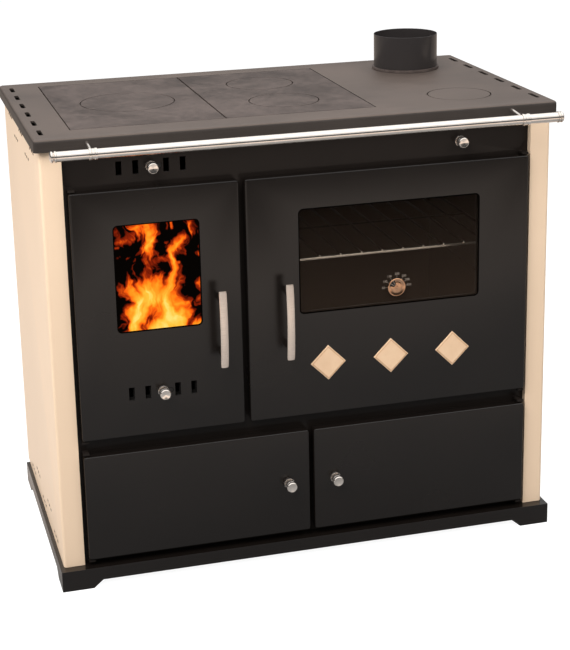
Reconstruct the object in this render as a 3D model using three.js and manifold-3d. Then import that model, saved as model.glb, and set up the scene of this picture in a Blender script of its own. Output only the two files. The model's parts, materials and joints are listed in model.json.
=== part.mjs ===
// A solid-fuel cookstove: a firebox and an oven side by side over two storage compartments, under one
// steel hob with cast-iron plates. Millimetres, +Z up. The pieces are drawn with x = 0 at the stove's
// middle, y = 0 at the hob's front edge (y grows towards the back) and z = 0 on the floor. At the end
// the whole group moves along y, so that its origin is the middle of its footprint.
import * as THREE from "three";
import { mergeVertices } from "three/addons/utils/BufferGeometryUtils.js";
import Module from "manifold-3d";

const wasm = await Module();
wasm.setup();

// Fits that hold everywhere
const seat = 0.3; // between two pieces that rest against each other
const play = 1; // round a piece that lifts or slides out
const overrun = 6; // how far a cut runs past the face that it leaves
const weld = 1; // how far a joined part runs into its neighbour
const roundSides = 32;
const pinSides = 12;
const knobSides = 20;
const bendSteps = 2; // a quarter turn has twice as many facets
const slotSteps = 1;
const edgeSteps = 2;

// Body: enamelled side panels, folded round the front corners into pillars
const bodyWidth = 952;
const bodyFront = 12;
const panelSheet = 2;
const pillarWidth = 39;
const pillarBend = 5;
const louvreLength = 58; // a group of short slots, end to end
const louvreSlot = 14; // the length of one of them
const louvreSlots = 3;
const louvreHeight = 5;
const louvreMargin = 102; // from the panel's front or back to the middle of the first group
const louvreCount = 5;
const louvreRowGap = 28;
const louvreFromBottom = 31; // from the plinth's top to the middle of the two lower rows
const louvreFromTop = 56.5; // from the hob's top to the middle of the two upper rows

// Hob: a steel top with a folded skirt, a little wider than the body
const hobOverhang = 9;
const hobWidth = bodyWidth + 2 * hobOverhang;
const hobDepth = 550;
const hobHeight = 850;
const hobSheet = 4;
const skirtHeight = 22;
const skirtSheet = 3;
const hobEdgeRadius = 6;
const hobCornerRadius = 8;
const edgeSlotLength = 43;
const edgeSlotWidth = 8;
const edgeSlotInset = 20;
const edgeSlotMargin = 65; // from the hob's front or back edge to the middle of the first slot
const edgeSlotCount = 6;

// The body ends just before the hob's back edge
const bodyBackInset = 5;
const bodyDepth = hobDepth - bodyFront - bodyBackInset;

// Cast-iron plates and their lids, set into the hob
const platesInset = 66; // from the body's left side to the left plate
const platesRightInset = 324; // from the body's right side to the middle plate
const plateThickness = 8;
const plateGap = 3;
const plateFront = 70;
const plateBack = 50; // from the hob's back edge
const lidLip = 8;
const leftLidShare = 0.315; // radius, in widths of the plate
const smallLidShare = 0.151; // radius, in depths of the plate
const smallLidSpreadShare = 0.212; // from the plate's middle to a small lid's middle, in depths of the plate
const cleaningLidRadius = 59;
const cleaningLidY = 130;
const lidLedgeSheet = 4;

// Bearer: the frame under the hob that carries the plates
const bearerOverhang = 4; // over the casing's sides
const bearerFront = 31;
const bearerBackInset = 38;
const bearerThickness = 14;
const bearerLedge = 12;
const bearerRim = 12;
const bearerBridge = 24; // between the middle plate and the opening on its right

// Flue spigot at the hob's back right, in line with the cleaning lid
const flueInset = 136; // from the body's right side
const flueBackInset = 115;
const flueX = bodyWidth / 2 - flueInset;
const flueY = hobDepth - flueBackInset;
const pipeRadius = 65;
const pipeSheet = 1.5;
const pipeHeight = 66;
const collarFlange = 3.5;
const collarThickness = 5;
const collarSheet = 2.5;
const collarSpigot = 32;

// Plinth with bracket feet, a little wider than the body
const plinthOverhang = 7;
const plinthWidth = bodyWidth + 2 * plinthOverhang;
const plinthFront = -6;
const plinthBackInset = 26;
const plinthHeight = 40;
const plinthSheet = 3;
const footLength = 58;
const footSlope = 18;
const notchHeight = 15;

// Front frame: the recessed sheet that holds the doors
const frameFront = 26;
const frameSheet = 3;
const mouthInset = 22; // from a door's outline to the opening behind it
const grateBarHeight = 22;

// Doors: folded trays with a liner, seen from the front
const doorSideGap = 7; // between a door and the pillar beside it
const doorSpan = bodyWidth - 2 * (pillarWidth + doorSideGap);
const doorDepth = 20;
const doorSheet = 2;
const doorCornerRadius = 5;
const doorEdgeRadius = 3;
const fireDoorWidth = 303;
const upperDoorGap = 11;
const lowerDoorGap = 9;
const upperDoorBottom = 289;
const fasciaHeight = 99; // from the upper doors to the hob's top
const upperDoorHeight = hobHeight - fasciaHeight - upperDoorBottom;
const lowerDoorBottom = 54;
const rowGap = 31; // between the lower and the upper doors
const lowerDoorHeight = upperDoorBottom - rowGap - lowerDoorBottom;
const linerSheet = 2.7;
const sealWidth = 8;
const catchSheet = 3;
const catchReach = 12;
const catchInset = 3; // from the opening's edge
const catchHeight = 30;

// Hinges: pins on lugs of the frame, in holes of the doors' folded edges
const hingeInset = 6;
const hingeDepth = 10;
const pinRadius = 3;
const pinPlay = 0.4;
const pinReach = 9;
const lugWidth = 12;
const lugNose = 6;
const lugSheet = 4;
const lugGap = 2;

// Windows
const windowRise = 199; // from the upper doors' lower edge
const windowDrop = 63; // from their top edge
const windowCornerRadius = 9;
const fireWindowMargin = 73.5; // from the door's side to its window
const ovenWindowMargin = 97.5;
const glassThickness = 4;
const glassMargin = 9;
const windowFrameWidth = 12;

// Handles: a bowed flat bar on two posts
const handleLength = 143;
const handleWidth = 14;
const handleSheet = 5;
const handleReach = 46; // from the door's face to the outer face of the bar's middle
const handleBow = 5;
const handleSteps = 8;
const postRadius = 5;
const postInset = 20;
const handleRise = 199; // from the door's lower edge to the handle's middle
const handleHeight = upperDoorBottom + handleRise;
const fireHandleInset = 44; // from the free edge of the door
const ovenHandleInset = 69;

// Knobs: a round head on a neck with a base ring
const knobRadius = 10;
const knobNeckRadius = 6;
const knobRing = 4;
const knobNeck = 6;
const knobHead = 14;
const knobChamfer = 1.5;
const storageKnobInset = 41; // from the free edge of a storage door
const knobStemRadius = 3.5;

// Air sliders: a slotted plate behind slots of the same size
const airSlotWidth = 10.5;
const airSlotHeight = 25;
const innerAirSlot = 27.5; // from the knob to the nearer slots
const outerAirSlot = 57.5;
const sliderTravel = 15;
const sliderSheet = 1.5;
const sliderMargin = 6;
const primaryAirRise = 82; // from the fire door's lower edge
const primaryAirHeight = upperDoorBottom + primaryAirRise;
const controlDrop = 66; // from the hob's top to the knobs of the fascia
const secondaryAirHeight = hobHeight - controlDrop;
const damperHeight = hobHeight - controlDrop;

// Flue damper: a pull rod with a valve plate on a baffle
const damperShift = 38.5; // to the left of the flue
const damperX = flueX - damperShift;
const damperRodRadius = 4;
const valveRadius = 36;
const valveSheet = 3;
const portRadius = 30;
const baffleFrontGap = 95; // from the flue's middle
const baffleLeftGap = 112;
const baffleFront = flueY - baffleFrontGap;
const baffleLeft = flueX - baffleLeftGap;
const baffleSheet = 3;

// Inner casing round the firebox and the oven
const casingInset = 52; // from the body's sides
const casingBackInset = 42;
const casingBack = hobDepth - casingBackInset;
const casingSheet = 3;
const casingDrop = 7; // from the casing's underside up to the upper doors' lower edge
const casingBottom = upperDoorBottom + casingDrop;
const dividerGap = 12; // from the fire door's opening to the wall between firebox and oven
const bedLedge = 10;
const panRunnerWidth = 14;

// Firebox
const brickThickness = 28;
const brickTopDrop = 154; // below the hob's top
const brickSetback = 14; // behind the casing's front, clear of the door's catch
const bedThickness = 13;
const bedRise = 157; // from the upper doors' lower edge to the bed's top
const bedTop = upperDoorBottom + bedRise;
const grateWidth = 128;
const grateFront = 110;
const grateBackInset = 140;
const grateThickness = 9;
const grateLedge = 8;
const grateRim = 16; // from the grate's edges to its slots
const grateSlotWidth = 9;
const grateSlotCount = 11;
const panSheet = 2;
const panHeight = 90;
const panFront = 48;
const panBackInset = 110;
const panMargin = 6; // each side of the pan, inside the opening
const panGripReach = 10;
const panGripWidth = 90;
const panGripHeight = 22;
const panGripSheet = 2;
const panRise = 2; // of the pan's underside over the lower edge of the opening

// Oven
const ovenBackInset = 78;
const ovenSheet = 2;
const skidWidth = 14;
const runnerHeight = 4;
const runnerReach = 7;
const runnerSetback = 15; // behind the oven's front edge, clear of the door's catch
const runnerLevels = 3;
const rackLevel = 1; // counted from 0 at the bottom
const lowestRunnerShare = 0.391; // above the oven's floor, in heights of the oven
const runnerSpacingShare = 0.24;
const rackWire = 3; // radius
const rackBar = 2.2; // radius of the thinner wires
const rackBarSink = 2; // how far they sit in the wires that carry them
const rackInset = 3;
const rackFront = 44;
const rackBackInset = 95;
const rackWires = 11; // thin wires between the two sides
const wireSides = 6;

// Thermometer in the oven window: a dished disc that turns on a dark base, with a fan-shaped sight hole
const dialRadius = 17.5;
const dialThickness = 2.4;
const dialShift = 12; // right of the window's middle
const dialRise = 33.5; // above the window's lower edge
const discRim = 0.8;
const discShoulder = 1.6;
const discDish = 1;
const discHub = 3;
const rimWidth = 2;
const dishRadius = 11;
const sightDirections = [107, 168]; // degrees, from the right, against the clock
const sightSteps = 4;

// Diamond tiles below the oven window
const tileSideShare = 0.137; // in widths of the oven window
const tilePitchShare = 0.349;
const tileThickness = 2.5;
const tileRise = 100; // from the oven door's lower edge
const tileCount = 3;

// Storage compartments
const storageSheet = 1.5;
const storageMargin = 7; // outside the opening, at the stove's sides
const storageGap = 6; // between the two compartments
const storageBackInset = 80;

// Rear panel
const ventLength = 60;
const ventHeight = 5;
const ventMargin = 191; // from the body's side to the middle of the first vent
const ventCount = 7;
const ventInset = 60;

// Towel rail
const railInset = 21; // from the body's side to the rail's end
const railRadius = 9;
const railSheet = 1.2;
const railReach = 63; // from the hob's front edge to the rail's middle
const railDrop = 16; // below the hob's top
const railHeight = hobHeight - railDrop;
const capRadius = 10.2;
const capLength = 12;
const capPlug = 10;
const bracketInset = 83; // from the body's side
const bracketRodRadius = 3;
const armSlope = 5.5; // degrees that a bracket's arm climbs on its way back to the skirt
const bracketRodTail = 6; // behind the skirt
const bracketCollarRadius = 10.8;
const bracketCollarWidth = 14;

// Colours and finishes
function finish(color, roughness, metalness) {
  return { color, roughness, metalness };
}
const blackPaint = finish(0x2f2c29, 0.5, 0.3);
const creamEnamel = finish(0xf0d9bd, 0.25, 0);
const hobSteel = finish(0x7e7772, 0.5, 0.6);
const castIron = finish(0x6f6864, 0.65, 0.5);
const innerSteel = finish(0x3a3735, 0.7, 0.4);
const ovenEnamel = finish(0x2c211c, 0.35, 0.1);
const chrome = finish(0xe4dfdc, 0.1, 1);
const satinSteel = finish(0xcabbb0, 0.35, 1);
const copper = finish(0xc08a62, 0.25, 1);
const clearGlass = finish(0x2a201b, 0.05, 0);
const fireclay = finish(0xb59a7a, 0.9, 0);
const gasket = finish(0x8a857d, 0.95, 0);
const glazedTile = finish(0xecd0aa, 0.2, 0);

// A closed solid from a three.js geometry, with its faces turned outwards
function solid(geometry) {
  const bare = new THREE.BufferGeometry();
  bare.setAttribute("position", geometry.attributes.position);
  bare.setIndex(geometry.index);
  const merged = mergeVertices(bare);
  const corners = merged.index.array;
  const faces = [];
  for (let i = 0; i < corners.length; i += 3) {
    const [a, b, c] = [corners[i], corners[i + 1], corners[i + 2]];
    if (a !== b && b !== c && c !== a) faces.push(a, b, c);
  }
  const vertProperties = new Float32Array(merged.attributes.position.array);
  const build = (order) => {
    return new wasm.Manifold(new wasm.Mesh({ numProp: 3, vertProperties, triVerts: new Uint32Array(order) }));
  };
  const shape = build(faces);
  if (shape.volume() > 0) return shape;
  return build(faces.toReversed());
}

// The three.js geometry of a solid
function geometryOf(shape) {
  const mesh = shape.getMesh();
  const geometry = new THREE.BufferGeometry();
  geometry.setAttribute("position", new THREE.BufferAttribute(mesh.vertProperties, 3));
  geometry.setIndex(new THREE.BufferAttribute(mesh.triVerts, 1));
  geometry.computeVertexNormals();
  return geometry;
}

const xAxis = new THREE.Vector3(1, 0, 0);
const yAxis = new THREE.Vector3(0, 1, 0);
const zAxis = new THREE.Vector3(0, 0, 1);

// A box between two x, two y and two z values
function cuboid([x0, x1], [y0, y1], [z0, z1]) {
  const geometry = new THREE.BoxGeometry(x1 - x0, y1 - y0, z1 - z0);
  geometry.translate((x0 + x1) / 2, (y0 + y1) / 2, (z0 + z1) / 2);
  return solid(geometry);
}

// A cylinder along an axis: its middle is given in the two other coordinates, in x, y, z order
function rod(axis, [u, v], [from, to], radius, sides = roundSides) {
  const geometry = new THREE.CylinderGeometry(radius, radius, to - from, sides);
  const middle = (from + to) / 2;
  if (axis === "x") {
    geometry.rotateZ(Math.PI / 2);
    geometry.translate(middle, u, v);
  } else if (axis === "y") {
    geometry.translate(u, middle, v);
  } else {
    geometry.rotateX(Math.PI / 2);
    geometry.translate(u, v, middle);
  }
  return solid(geometry);
}

// An outline carried along an axis: (x, z) points along y, (y, z) points along x, (x, y) points along z
function prism(axis, points, [from, to], curveSegments = bendSteps) {
  const outline = points instanceof THREE.Shape
    ? points
    : new THREE.Shape(points.map(([u, v]) => new THREE.Vector2(u, v)));
  const geometry = new THREE.ExtrudeGeometry(outline, {
    depth: to - from,
    bevelEnabled: false,
    curveSegments,
  });
  if (axis === "x") {
    geometry.translate(0, 0, from);
    geometry.applyMatrix4(new THREE.Matrix4().makeBasis(yAxis, zAxis, xAxis));
  } else if (axis === "y") {
    geometry.translate(0, 0, -to);
    geometry.rotateX(Math.PI / 2);
  } else {
    geometry.translate(0, 0, from);
  }
  return solid(geometry);
}

// A turned piece: (radius, height) points round an upright axis through x, y
function turned(points, [x, y], sides = roundSides) {
  const profile = points.map(([radius, height]) => new THREE.Vector2(radius, height));
  const geometry = new THREE.LatheGeometry(profile, sides);
  geometry.rotateX(Math.PI / 2);
  geometry.translate(x, y, 0);
  return solid(geometry);
}

// A turned piece that points to the front: (radius, distance in front of y = 0) points
function turnedForward(points, sides = roundSides) {
  const profile = points.map(([radius, distance]) => new THREE.Vector2(radius, distance));
  const geometry = new THREE.LatheGeometry(profile, sides);
  geometry.rotateX(Math.PI);
  return solid(geometry);
}

function roundedRectangle(width, height, radius) {
  const [right, top] = [width / 2, height / 2];
  const shape = new THREE.Shape();
  shape.moveTo(radius - right, -top);
  shape.absarc(right - radius, radius - top, radius, -Math.PI / 2, 0);
  shape.absarc(right - radius, top - radius, radius, 0, Math.PI / 2);
  shape.absarc(radius - right, top - radius, radius, Math.PI / 2, Math.PI);
  shape.absarc(radius - right, radius - top, radius, Math.PI, Math.PI * 1.5);
  shape.closePath();
  return shape;
}

// A slab with rounded corners, whose edges are rounded on the face at local +z
function softSlab(width, height, depth, cornerRadius, edgeRadius) {
  const geometry = new THREE.ExtrudeGeometry(roundedRectangle(width, height, cornerRadius), {
    depth,
    bevelThickness: edgeRadius,
    bevelSize: edgeRadius,
    bevelOffset: -edgeRadius,
    bevelSegments: edgeSteps,
    curveSegments: bendSteps,
  });
  geometry.translate(0, 0, -depth - edgeRadius);
  const slab = solid(geometry);
  const back = [-depth - edgeRadius - overrun, -depth];
  return slab.subtract(cuboid([-width, width], [-height, height], back));
}

function mirrored(shape) {
  const geometry = geometryOf(shape);
  geometry.scale(-1, 1, 1);
  return solid(geometry);
}

const stove = new THREE.Group();

function addPiece(name, shape, look, position = [0, 0, 0]) {
  const mesh = new THREE.Mesh(geometryOf(shape), new THREE.MeshStandardMaterial(look));
  mesh.name = name;
  mesh.position.set(...position);
  stove.add(mesh);
}

const grown = ([low, high], by) => [low - by, high + by];
const middleOf = ([low, high]) => (low + high) / 2;

// The places of equal things, spread from one margin to the other
function spread(count, from, to) {
  const places = [];
  for (let i = 0; i < count; i++) places.push(from + ((to - from) * i) / (count - 1));
  return places;
}

const halfBody = bodyWidth / 2;
const bodyBack = bodyFront + bodyDepth;
const hobUnderside = hobHeight - hobSheet;
const frameBack = frameFront + frameSheet;
const bodyHeights = [plinthHeight + seat, hobUnderside - seat];

// Where each door stands: its outline in x and z, and the side of its hinge
const upperDoorHeights = [upperDoorBottom, upperDoorBottom + upperDoorHeight];
const lowerDoorHeights = [lowerDoorBottom, lowerDoorBottom + lowerDoorHeight];
const fireDoor = { x: [-doorSpan / 2, fireDoorWidth - doorSpan / 2], z: upperDoorHeights, hinge: -1 };
const ovenDoor = { x: [fireDoor.x[1] + upperDoorGap, doorSpan / 2], z: upperDoorHeights, hinge: 1 };
const storageDoors = {
  left: { x: [-doorSpan / 2, -lowerDoorGap / 2], z: lowerDoorHeights, hinge: -1 },
  right: { x: [lowerDoorGap / 2, doorSpan / 2], z: lowerDoorHeights, hinge: 1 },
};
const allDoors = [fireDoor, ovenDoor, storageDoors.left, storageDoors.right];
for (const door of allDoors) {
  door.mouth = { x: grown(door.x, -mouthInset), z: grown(door.z, -mouthInset) };
  door.hingeX = door.hinge < 0 ? door.x[0] + hingeInset : door.x[1] - hingeInset;
}
const fireMouth = { x: fireDoor.mouth.x, z: [bedTop, fireDoor.mouth.z[1]] };
const ashMouth = { x: fireDoor.mouth.x, z: [fireDoor.mouth.z[0], bedTop - grateBarHeight] };
const windowHeights = [upperDoorBottom + windowRise, upperDoorHeights[1] - windowDrop];
const fireDoorMiddle = middleOf(fireDoor.x);
const ovenDoorMiddle = middleOf(ovenDoor.x);
fireDoor.window = { x: grown(fireDoor.x, -fireWindowMargin), z: windowHeights };
ovenDoor.window = { x: grown(ovenDoor.x, -ovenWindowMargin), z: windowHeights };

// The four slots of an air inlet and the slot that its knob slides in
function airSlots(height, y) {
  const slots = [];
  for (const offset of [-outerAirSlot, -innerAirSlot, innerAirSlot, outerAirSlot]) {
    const middle = fireDoorMiddle + offset;
    const x = [middle - airSlotWidth / 2, middle + airSlotWidth / 2];
    slots.push(cuboid(x, y, [height - airSlotHeight / 2, height + airSlotHeight / 2]));
  }
  return slots;
}

function knobSlot(height, y) {
  const x = [fireDoorMiddle - knobStemRadius - play, fireDoorMiddle + knobStemRadius + play + sliderTravel];
  return cuboid(x, y, [height - knobStemRadius - play, height + knobStemRadius + play]);
}

// The outline of an air slider's plate, with room for it to slide by a distance
function airPlateOutline(height, slide = 0) {
  const reach = outerAirSlot + airSlotWidth / 2 + sliderMargin;
  const [left, right] = [fireDoorMiddle - reach - sliderTravel, fireDoorMiddle + reach];
  const z = [height - airSlotHeight / 2, height + airSlotHeight / 2];
  return { x: [left, right + slide], z: grown(z, sliderMargin) };
}

function cutAll(shape, cuts) {
  return cuts.reduce((rest, cut) => rest.subtract(cut), shape);
}

// Plinth: an open-bottomed sheet box whose lower edges are cut away between the feet
function feetNotch(low, high) {
  return [
    [low + footLength, -overrun],
    [high - footLength, -overrun],
    [high - footLength, 0],
    [high - footLength - footSlope, notchHeight],
    [low + footLength + footSlope, notchHeight],
    [low + footLength, 0],
  ];
}

function makePlinth() {
  const x = [-plinthWidth / 2, plinthWidth / 2];
  const y = [plinthFront, hobDepth - plinthBackInset];
  const box = cuboid(x, y, [0, plinthHeight]);
  const hollowZ = [-overrun, plinthHeight - plinthSheet];
  const hollow = cuboid(grown(x, -plinthSheet), grown(y, -plinthSheet), hollowZ);
  const acrossNotch = prism("y", feetNotch(...x), grown(y, overrun));
  const alongNotch = prism("x", feetNotch(...y), grown(x, overrun));
  addPiece("plinth", cutAll(box, [hollow, acrossNotch, alongNotch]), blackPaint);
}

// Side panels: one folded sheet each, with groups of air slots in staggered rows near the top and the bottom
function sidePanelOutline() {
  const [outer, inner] = [-halfBody, -halfBody + panelSheet];
  const [front, frontInside] = [bodyFront, bodyFront + panelSheet];
  const pillarEdge = outer + pillarWidth;
  const flangeBack = frameFront - seat;
  const bend = pillarBend;
  const shape = new THREE.Shape();
  shape.moveTo(inner, bodyBack);
  shape.lineTo(outer, bodyBack);
  shape.lineTo(outer, front + bend);
  shape.absarc(outer + bend, front + bend, bend, Math.PI, Math.PI * 1.5);
  shape.lineTo(pillarEdge, front);
  shape.lineTo(pillarEdge, flangeBack);
  shape.lineTo(pillarEdge - panelSheet, flangeBack);
  shape.lineTo(pillarEdge - panelSheet, frontInside);
  shape.lineTo(outer + bend, frontInside);
  shape.absarc(outer + bend, front + bend, bend - panelSheet, Math.PI * 1.5, Math.PI, true);
  shape.closePath();
  return shape;
}

function louvres(middleHeight, lowRowFirst) {
  const cuts = [];
  for (const [i, y] of spread(louvreCount, bodyFront + louvreMargin, bodyBack - louvreMargin).entries()) {
    const low = i % 2 === (lowRowFirst ? 0 : 1);
    const z = middleHeight + (low ? -louvreRowGap : louvreRowGap) / 2;
    const x = [-halfBody - overrun, -halfBody + panelSheet + overrun];
    const reach = (louvreLength - louvreSlot) / 2;
    for (const middle of spread(louvreSlots, y - reach, y + reach)) {
      const length = [middle - louvreSlot / 2, middle + louvreSlot / 2];
      cuts.push(cuboid(x, length, [z - louvreHeight / 2, z + louvreHeight / 2]));
    }
  }
  return cuts;
}

function makeSidePanels() {
  const sheet = prism("z", sidePanelOutline(), bodyHeights);
  const lower = louvres(plinthHeight + louvreFromBottom, true);
  const upper = louvres(hobHeight - louvreFromTop, false);
  const leftPanel = cutAll(sheet, [...lower, ...upper]);
  addPiece("side_panel_left", leftPanel, creamEnamel);
  addPiece("side_panel_right", mirrored(leftPanel), creamEnamel);
}

function makeRearPanel() {
  const x = grown([-halfBody, halfBody], -panelSheet - seat);
  const sheet = cuboid(x, [bodyBack - panelSheet, bodyBack], bodyHeights);
  const cuts = [];
  for (const z of [plinthHeight + ventInset, hobHeight - ventInset]) {
    for (const middle of spread(ventCount, ventMargin - halfBody, halfBody - ventMargin)) {
      const length = [middle - ventLength / 2, middle + ventLength / 2];
      const y = grown([bodyBack - panelSheet, bodyBack], overrun);
      cuts.push(cuboid(length, y, [z - ventHeight / 2, z + ventHeight / 2]));
    }
  }
  addPiece("rear_panel", cutAll(sheet, cuts), blackPaint);
}

// Front frame: openings behind the doors, air slots over the fire door, and lugs with the hinge pins
function hingeLugs(door) {
  const x = [door.hingeX - lugWidth / 2, door.hingeX + lugWidth / 2];
  const y = [hingeDepth - lugNose, frameBack];
  const [bottom, top] = door.z;
  const lowLug = [bottom - lugGap - lugSheet, bottom - lugGap];
  const highLug = [top + lugGap, top + lugGap + lugSheet];
  const lowPin = [lowLug[0], bottom + doorSheet + pinReach];
  const highPin = [top - doorSheet - pinReach, highLug[1]];
  const axis = [door.hingeX, hingeDepth];
  return [
    cuboid(x, y, lowLug),
    cuboid(x, y, highLug),
    rod("z", axis, lowPin, pinRadius, pinSides),
    rod("z", axis, highPin, pinRadius, pinSides),
  ];
}

function makeFrontFrame() {
  const x = grown([-halfBody, halfBody], -panelSheet - seat);
  const y = [frameFront, frameBack];
  const through = grown(y, overrun);
  const mouths = [fireMouth, ashMouth, ovenDoor.mouth, storageDoors.left.mouth, storageDoors.right.mouth];
  const cuts = mouths.map((mouth) => cuboid(mouth.x, through, mouth.z));
  cuts.push(...airSlots(secondaryAirHeight, through), knobSlot(secondaryAirHeight, through));
  cuts.push(rod("y", [damperX, damperHeight], through, damperRodRadius + play));
  const plate = cutAll(cuboid(x, y, bodyHeights), cuts);
  const lugs = allDoors.flatMap(hingeLugs);
  addPiece("front_frame", lugs.reduce((whole, lug) => whole.add(lug), plate), blackPaint);
}

// Casing: the steel box that holds the firebox and the oven, open under the hob
const casingX = grown([-halfBody, halfBody], -casingInset);
const dividerX = fireDoor.mouth.x[1] + dividerGap; // the firebox's side of the wall
const casingY = [frameBack + seat, casingBack];
const casingTop = hobUnderside - seat - bearerThickness - seat;
const ovenX = grown(ovenDoor.mouth.x, ovenSheet);
const ovenZ = grown(ovenDoor.mouth.z, ovenSheet);
const bay = { x: [casingX[0] + casingSheet, dividerX], y: grown(casingY, -casingSheet) };
const runnerTop = ashMouth.z[0] + panRise - seat;
const panX = grown(ashMouth.x, -panMargin);

function makeCasing() {
  const outside = cuboid(casingX, casingY, [casingBottom, casingTop]);
  const floor = casingBottom + casingSheet;
  const ovenBayX = [dividerX + casingSheet, casingX[1] - casingSheet];
  const hollows = [
    cuboid(bay.x, bay.y, [floor, casingTop + overrun]),
    cuboid(ovenBayX, bay.y, [floor, casingTop + overrun]),
    cuboid([dividerX - overrun, dividerX + casingSheet + overrun], bay.y, [ovenZ[1], casingTop + overrun]),
  ];
  const frontWall = [casingY[0] - overrun, casingY[0] + casingSheet + overrun];
  const inlet = airPlateOutline(secondaryAirHeight, sliderTravel);
  const openings = [
    cuboid(fireMouth.x, frontWall, fireMouth.z),
    cuboid(ashMouth.x, frontWall, ashMouth.z),
    cuboid(grown(ovenX, seat), frontWall, grown(ovenZ, seat)),
    cuboid(grown(inlet.x, play), frontWall, grown(inlet.z, play)),
    rod("y", [damperX, damperHeight], frontWall, damperRodRadius + play),
  ];
  const bedBottom = bedTop - bedThickness;
  const ledgeZ = [bedBottom - seat - bedLedge, bedBottom - seat];
  const runnerZ = [floor, runnerTop];
  const supports = [
    cuboid([bay.x[0], bay.x[0] + bedLedge], bay.y, ledgeZ),
    cuboid([bay.x[1] - bedLedge, bay.x[1]], bay.y, ledgeZ),
    cuboid([panX[0], panX[0] + panRunnerWidth], bay.y, runnerZ),
    cuboid([panX[1] - panRunnerWidth, panX[1]], bay.y, runnerZ),
  ];
  const box = cutAll(outside, [...hollows, ...openings]);
  addPiece("inner_casing", supports.reduce((whole, part) => whole.add(part), box), innerSteel);
}

// Firebox: a bed with the grate, firebricks on three sides, and the ash pan below
const bedZ = [bedTop - bedThickness, bedTop];
const bedX = grown(bay.x, -seat);
const bedY = grown(bay.y, -seat);
const grateX = [fireDoorMiddle - grateWidth / 2, fireDoorMiddle + grateWidth / 2];
const grateY = [grateFront, hobDepth - grateBackInset];

function makeGrate() {
  const hole = cuboid(grown(grateX, -grateLedge), grown(grateY, -grateLedge), grown(bedZ, overrun));
  const rebateZ = [bedTop - grateThickness - seat, bedTop + overrun];
  const rebate = cuboid(grown(grateX, play), grown(grateY, play), rebateZ);
  addPiece("grate_bed", cutAll(cuboid(bedX, bedY, bedZ), [hole, rebate]), castIron);

  const slab = cuboid(grateX, grateY, [bedTop - grateThickness, bedTop]);
  const firstSlot = grateRim + grateSlotWidth / 2;
  const slots = [];
  for (const middle of spread(grateSlotCount, grateY[0] + firstSlot, grateY[1] - firstSlot)) {
    const y = [middle - grateSlotWidth / 2, middle + grateSlotWidth / 2];
    slots.push(cuboid(grown(grateX, -grateRim), y, grown(bedZ, overrun)));
  }
  addPiece("fire_grate", cutAll(slab, slots), castIron);
}

function makeBricks() {
  const z = [bedTop + seat, hobHeight - brickTopDrop];
  const y = [bedY[0] + brickSetback, bedY[1]];
  const [left, right] = bedX;
  const backX = [left + brickThickness + seat, right - brickThickness - seat];
  addPiece("firebrick_left", cuboid([left, left + brickThickness], y, z), fireclay);
  addPiece("firebrick_right", cuboid([right - brickThickness, right], y, z), fireclay);
  addPiece("firebrick_back", cuboid(backX, [y[1] - brickThickness, y[1]], z), fireclay);
}

function makeAshPan() {
  const y = [panFront, hobDepth - panBackInset];
  const bottom = runnerTop + seat;
  const top = bottom + panHeight;
  const box = cuboid(panX, y, [bottom, top]);
  const hollow = cuboid(grown(panX, -panSheet), grown(y, -panSheet), [bottom + panSheet, top + overrun]);
  addPiece("ash_pan", box.subtract(hollow), innerSteel);

  const gripX = [fireDoorMiddle - panGripWidth / 2, fireDoorMiddle + panGripWidth / 2];
  const gripBack = panFront - seat;
  const lip = cuboid(gripX, [gripBack - panGripReach, gripBack], [top - panGripSheet, top]);
  const flange = cuboid(gripX, [gripBack - panGripSheet, gripBack], [top - panGripHeight, top]);
  addPiece("ash_pan_grip", lip.add(flange), innerSteel);
}

// Oven: an enamelled box with pressed runners, and a wire rack on the middle pair
const ovenHeight = ovenDoor.mouth.z[1] - ovenDoor.mouth.z[0];
const ovenBack = hobDepth - ovenBackInset;
const runnerShare = (level) => lowestRunnerShare + level * runnerSpacingShare;
const runnerZ = (level) => ovenDoor.mouth.z[0] + runnerShare(level) * ovenHeight;

function makeOven() {
  const inside = ovenDoor.mouth;
  const y = [frameBack + seat, ovenBack];
  const box = cuboid(ovenX, y, ovenZ);
  const hollow = cuboid(inside.x, [y[0] - overrun, ovenBack - ovenSheet], inside.z);
  const parts = [];
  const runnerY = [y[0] + runnerSetback, ovenBack - weld];
  for (let level = 0; level < runnerLevels; level++) {
    const z = [runnerZ(level) - runnerHeight, runnerZ(level)];
    parts.push(cuboid([ovenX[0] + weld, inside.x[0] + runnerReach], runnerY, z));
    parts.push(cuboid([inside.x[1] - runnerReach, ovenX[1] - weld], runnerY, z));
  }
  const floor = casingBottom + casingSheet + seat;
  for (const x of inside.x) {
    const towardsMiddle = x < ovenDoorMiddle ? 1 : -1;
    const skid = [x, x + towardsMiddle * skidWidth].sort((a, b) => a - b);
    parts.push(cuboid(skid, grown(y, -casingSheet - seat), [floor, ovenZ[0] + weld]));
  }
  addPiece("oven_box", parts.reduce((whole, part) => whole.add(part), box.subtract(hollow)), ovenEnamel);
}

function makeRack() {
  const x = grown(ovenDoor.mouth.x, -rackInset - rackWire);
  const z = runnerZ(rackLevel) + seat + rackWire;
  const y = [rackFront, hobDepth - rackBackInset];
  const wires = [];
  for (const side of x) wires.push(rod("y", [side, z], y, rackWire, wireSides));
  for (const end of grown(y, -rackWire)) wires.push(rod("x", [end, z], x, rackWire, wireSides));
  const pitch = (x[1] - x[0]) / (rackWires + 1);
  const barHeight = z + rackWire - rackBarSink + rackBar;
  for (let i = 1; i <= rackWires; i++) {
    wires.push(rod("y", [x[0] + i * pitch, barHeight], grown(y, -rackWire), rackBar, wireSides));
  }
  wires.push(rod("x", [middleOf(y), z + rackWire - rackBar], x, rackBar, wireSides));
  addPiece("oven_rack", wires.reduce((whole, wire) => whole.add(wire)), chrome);
}

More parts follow.
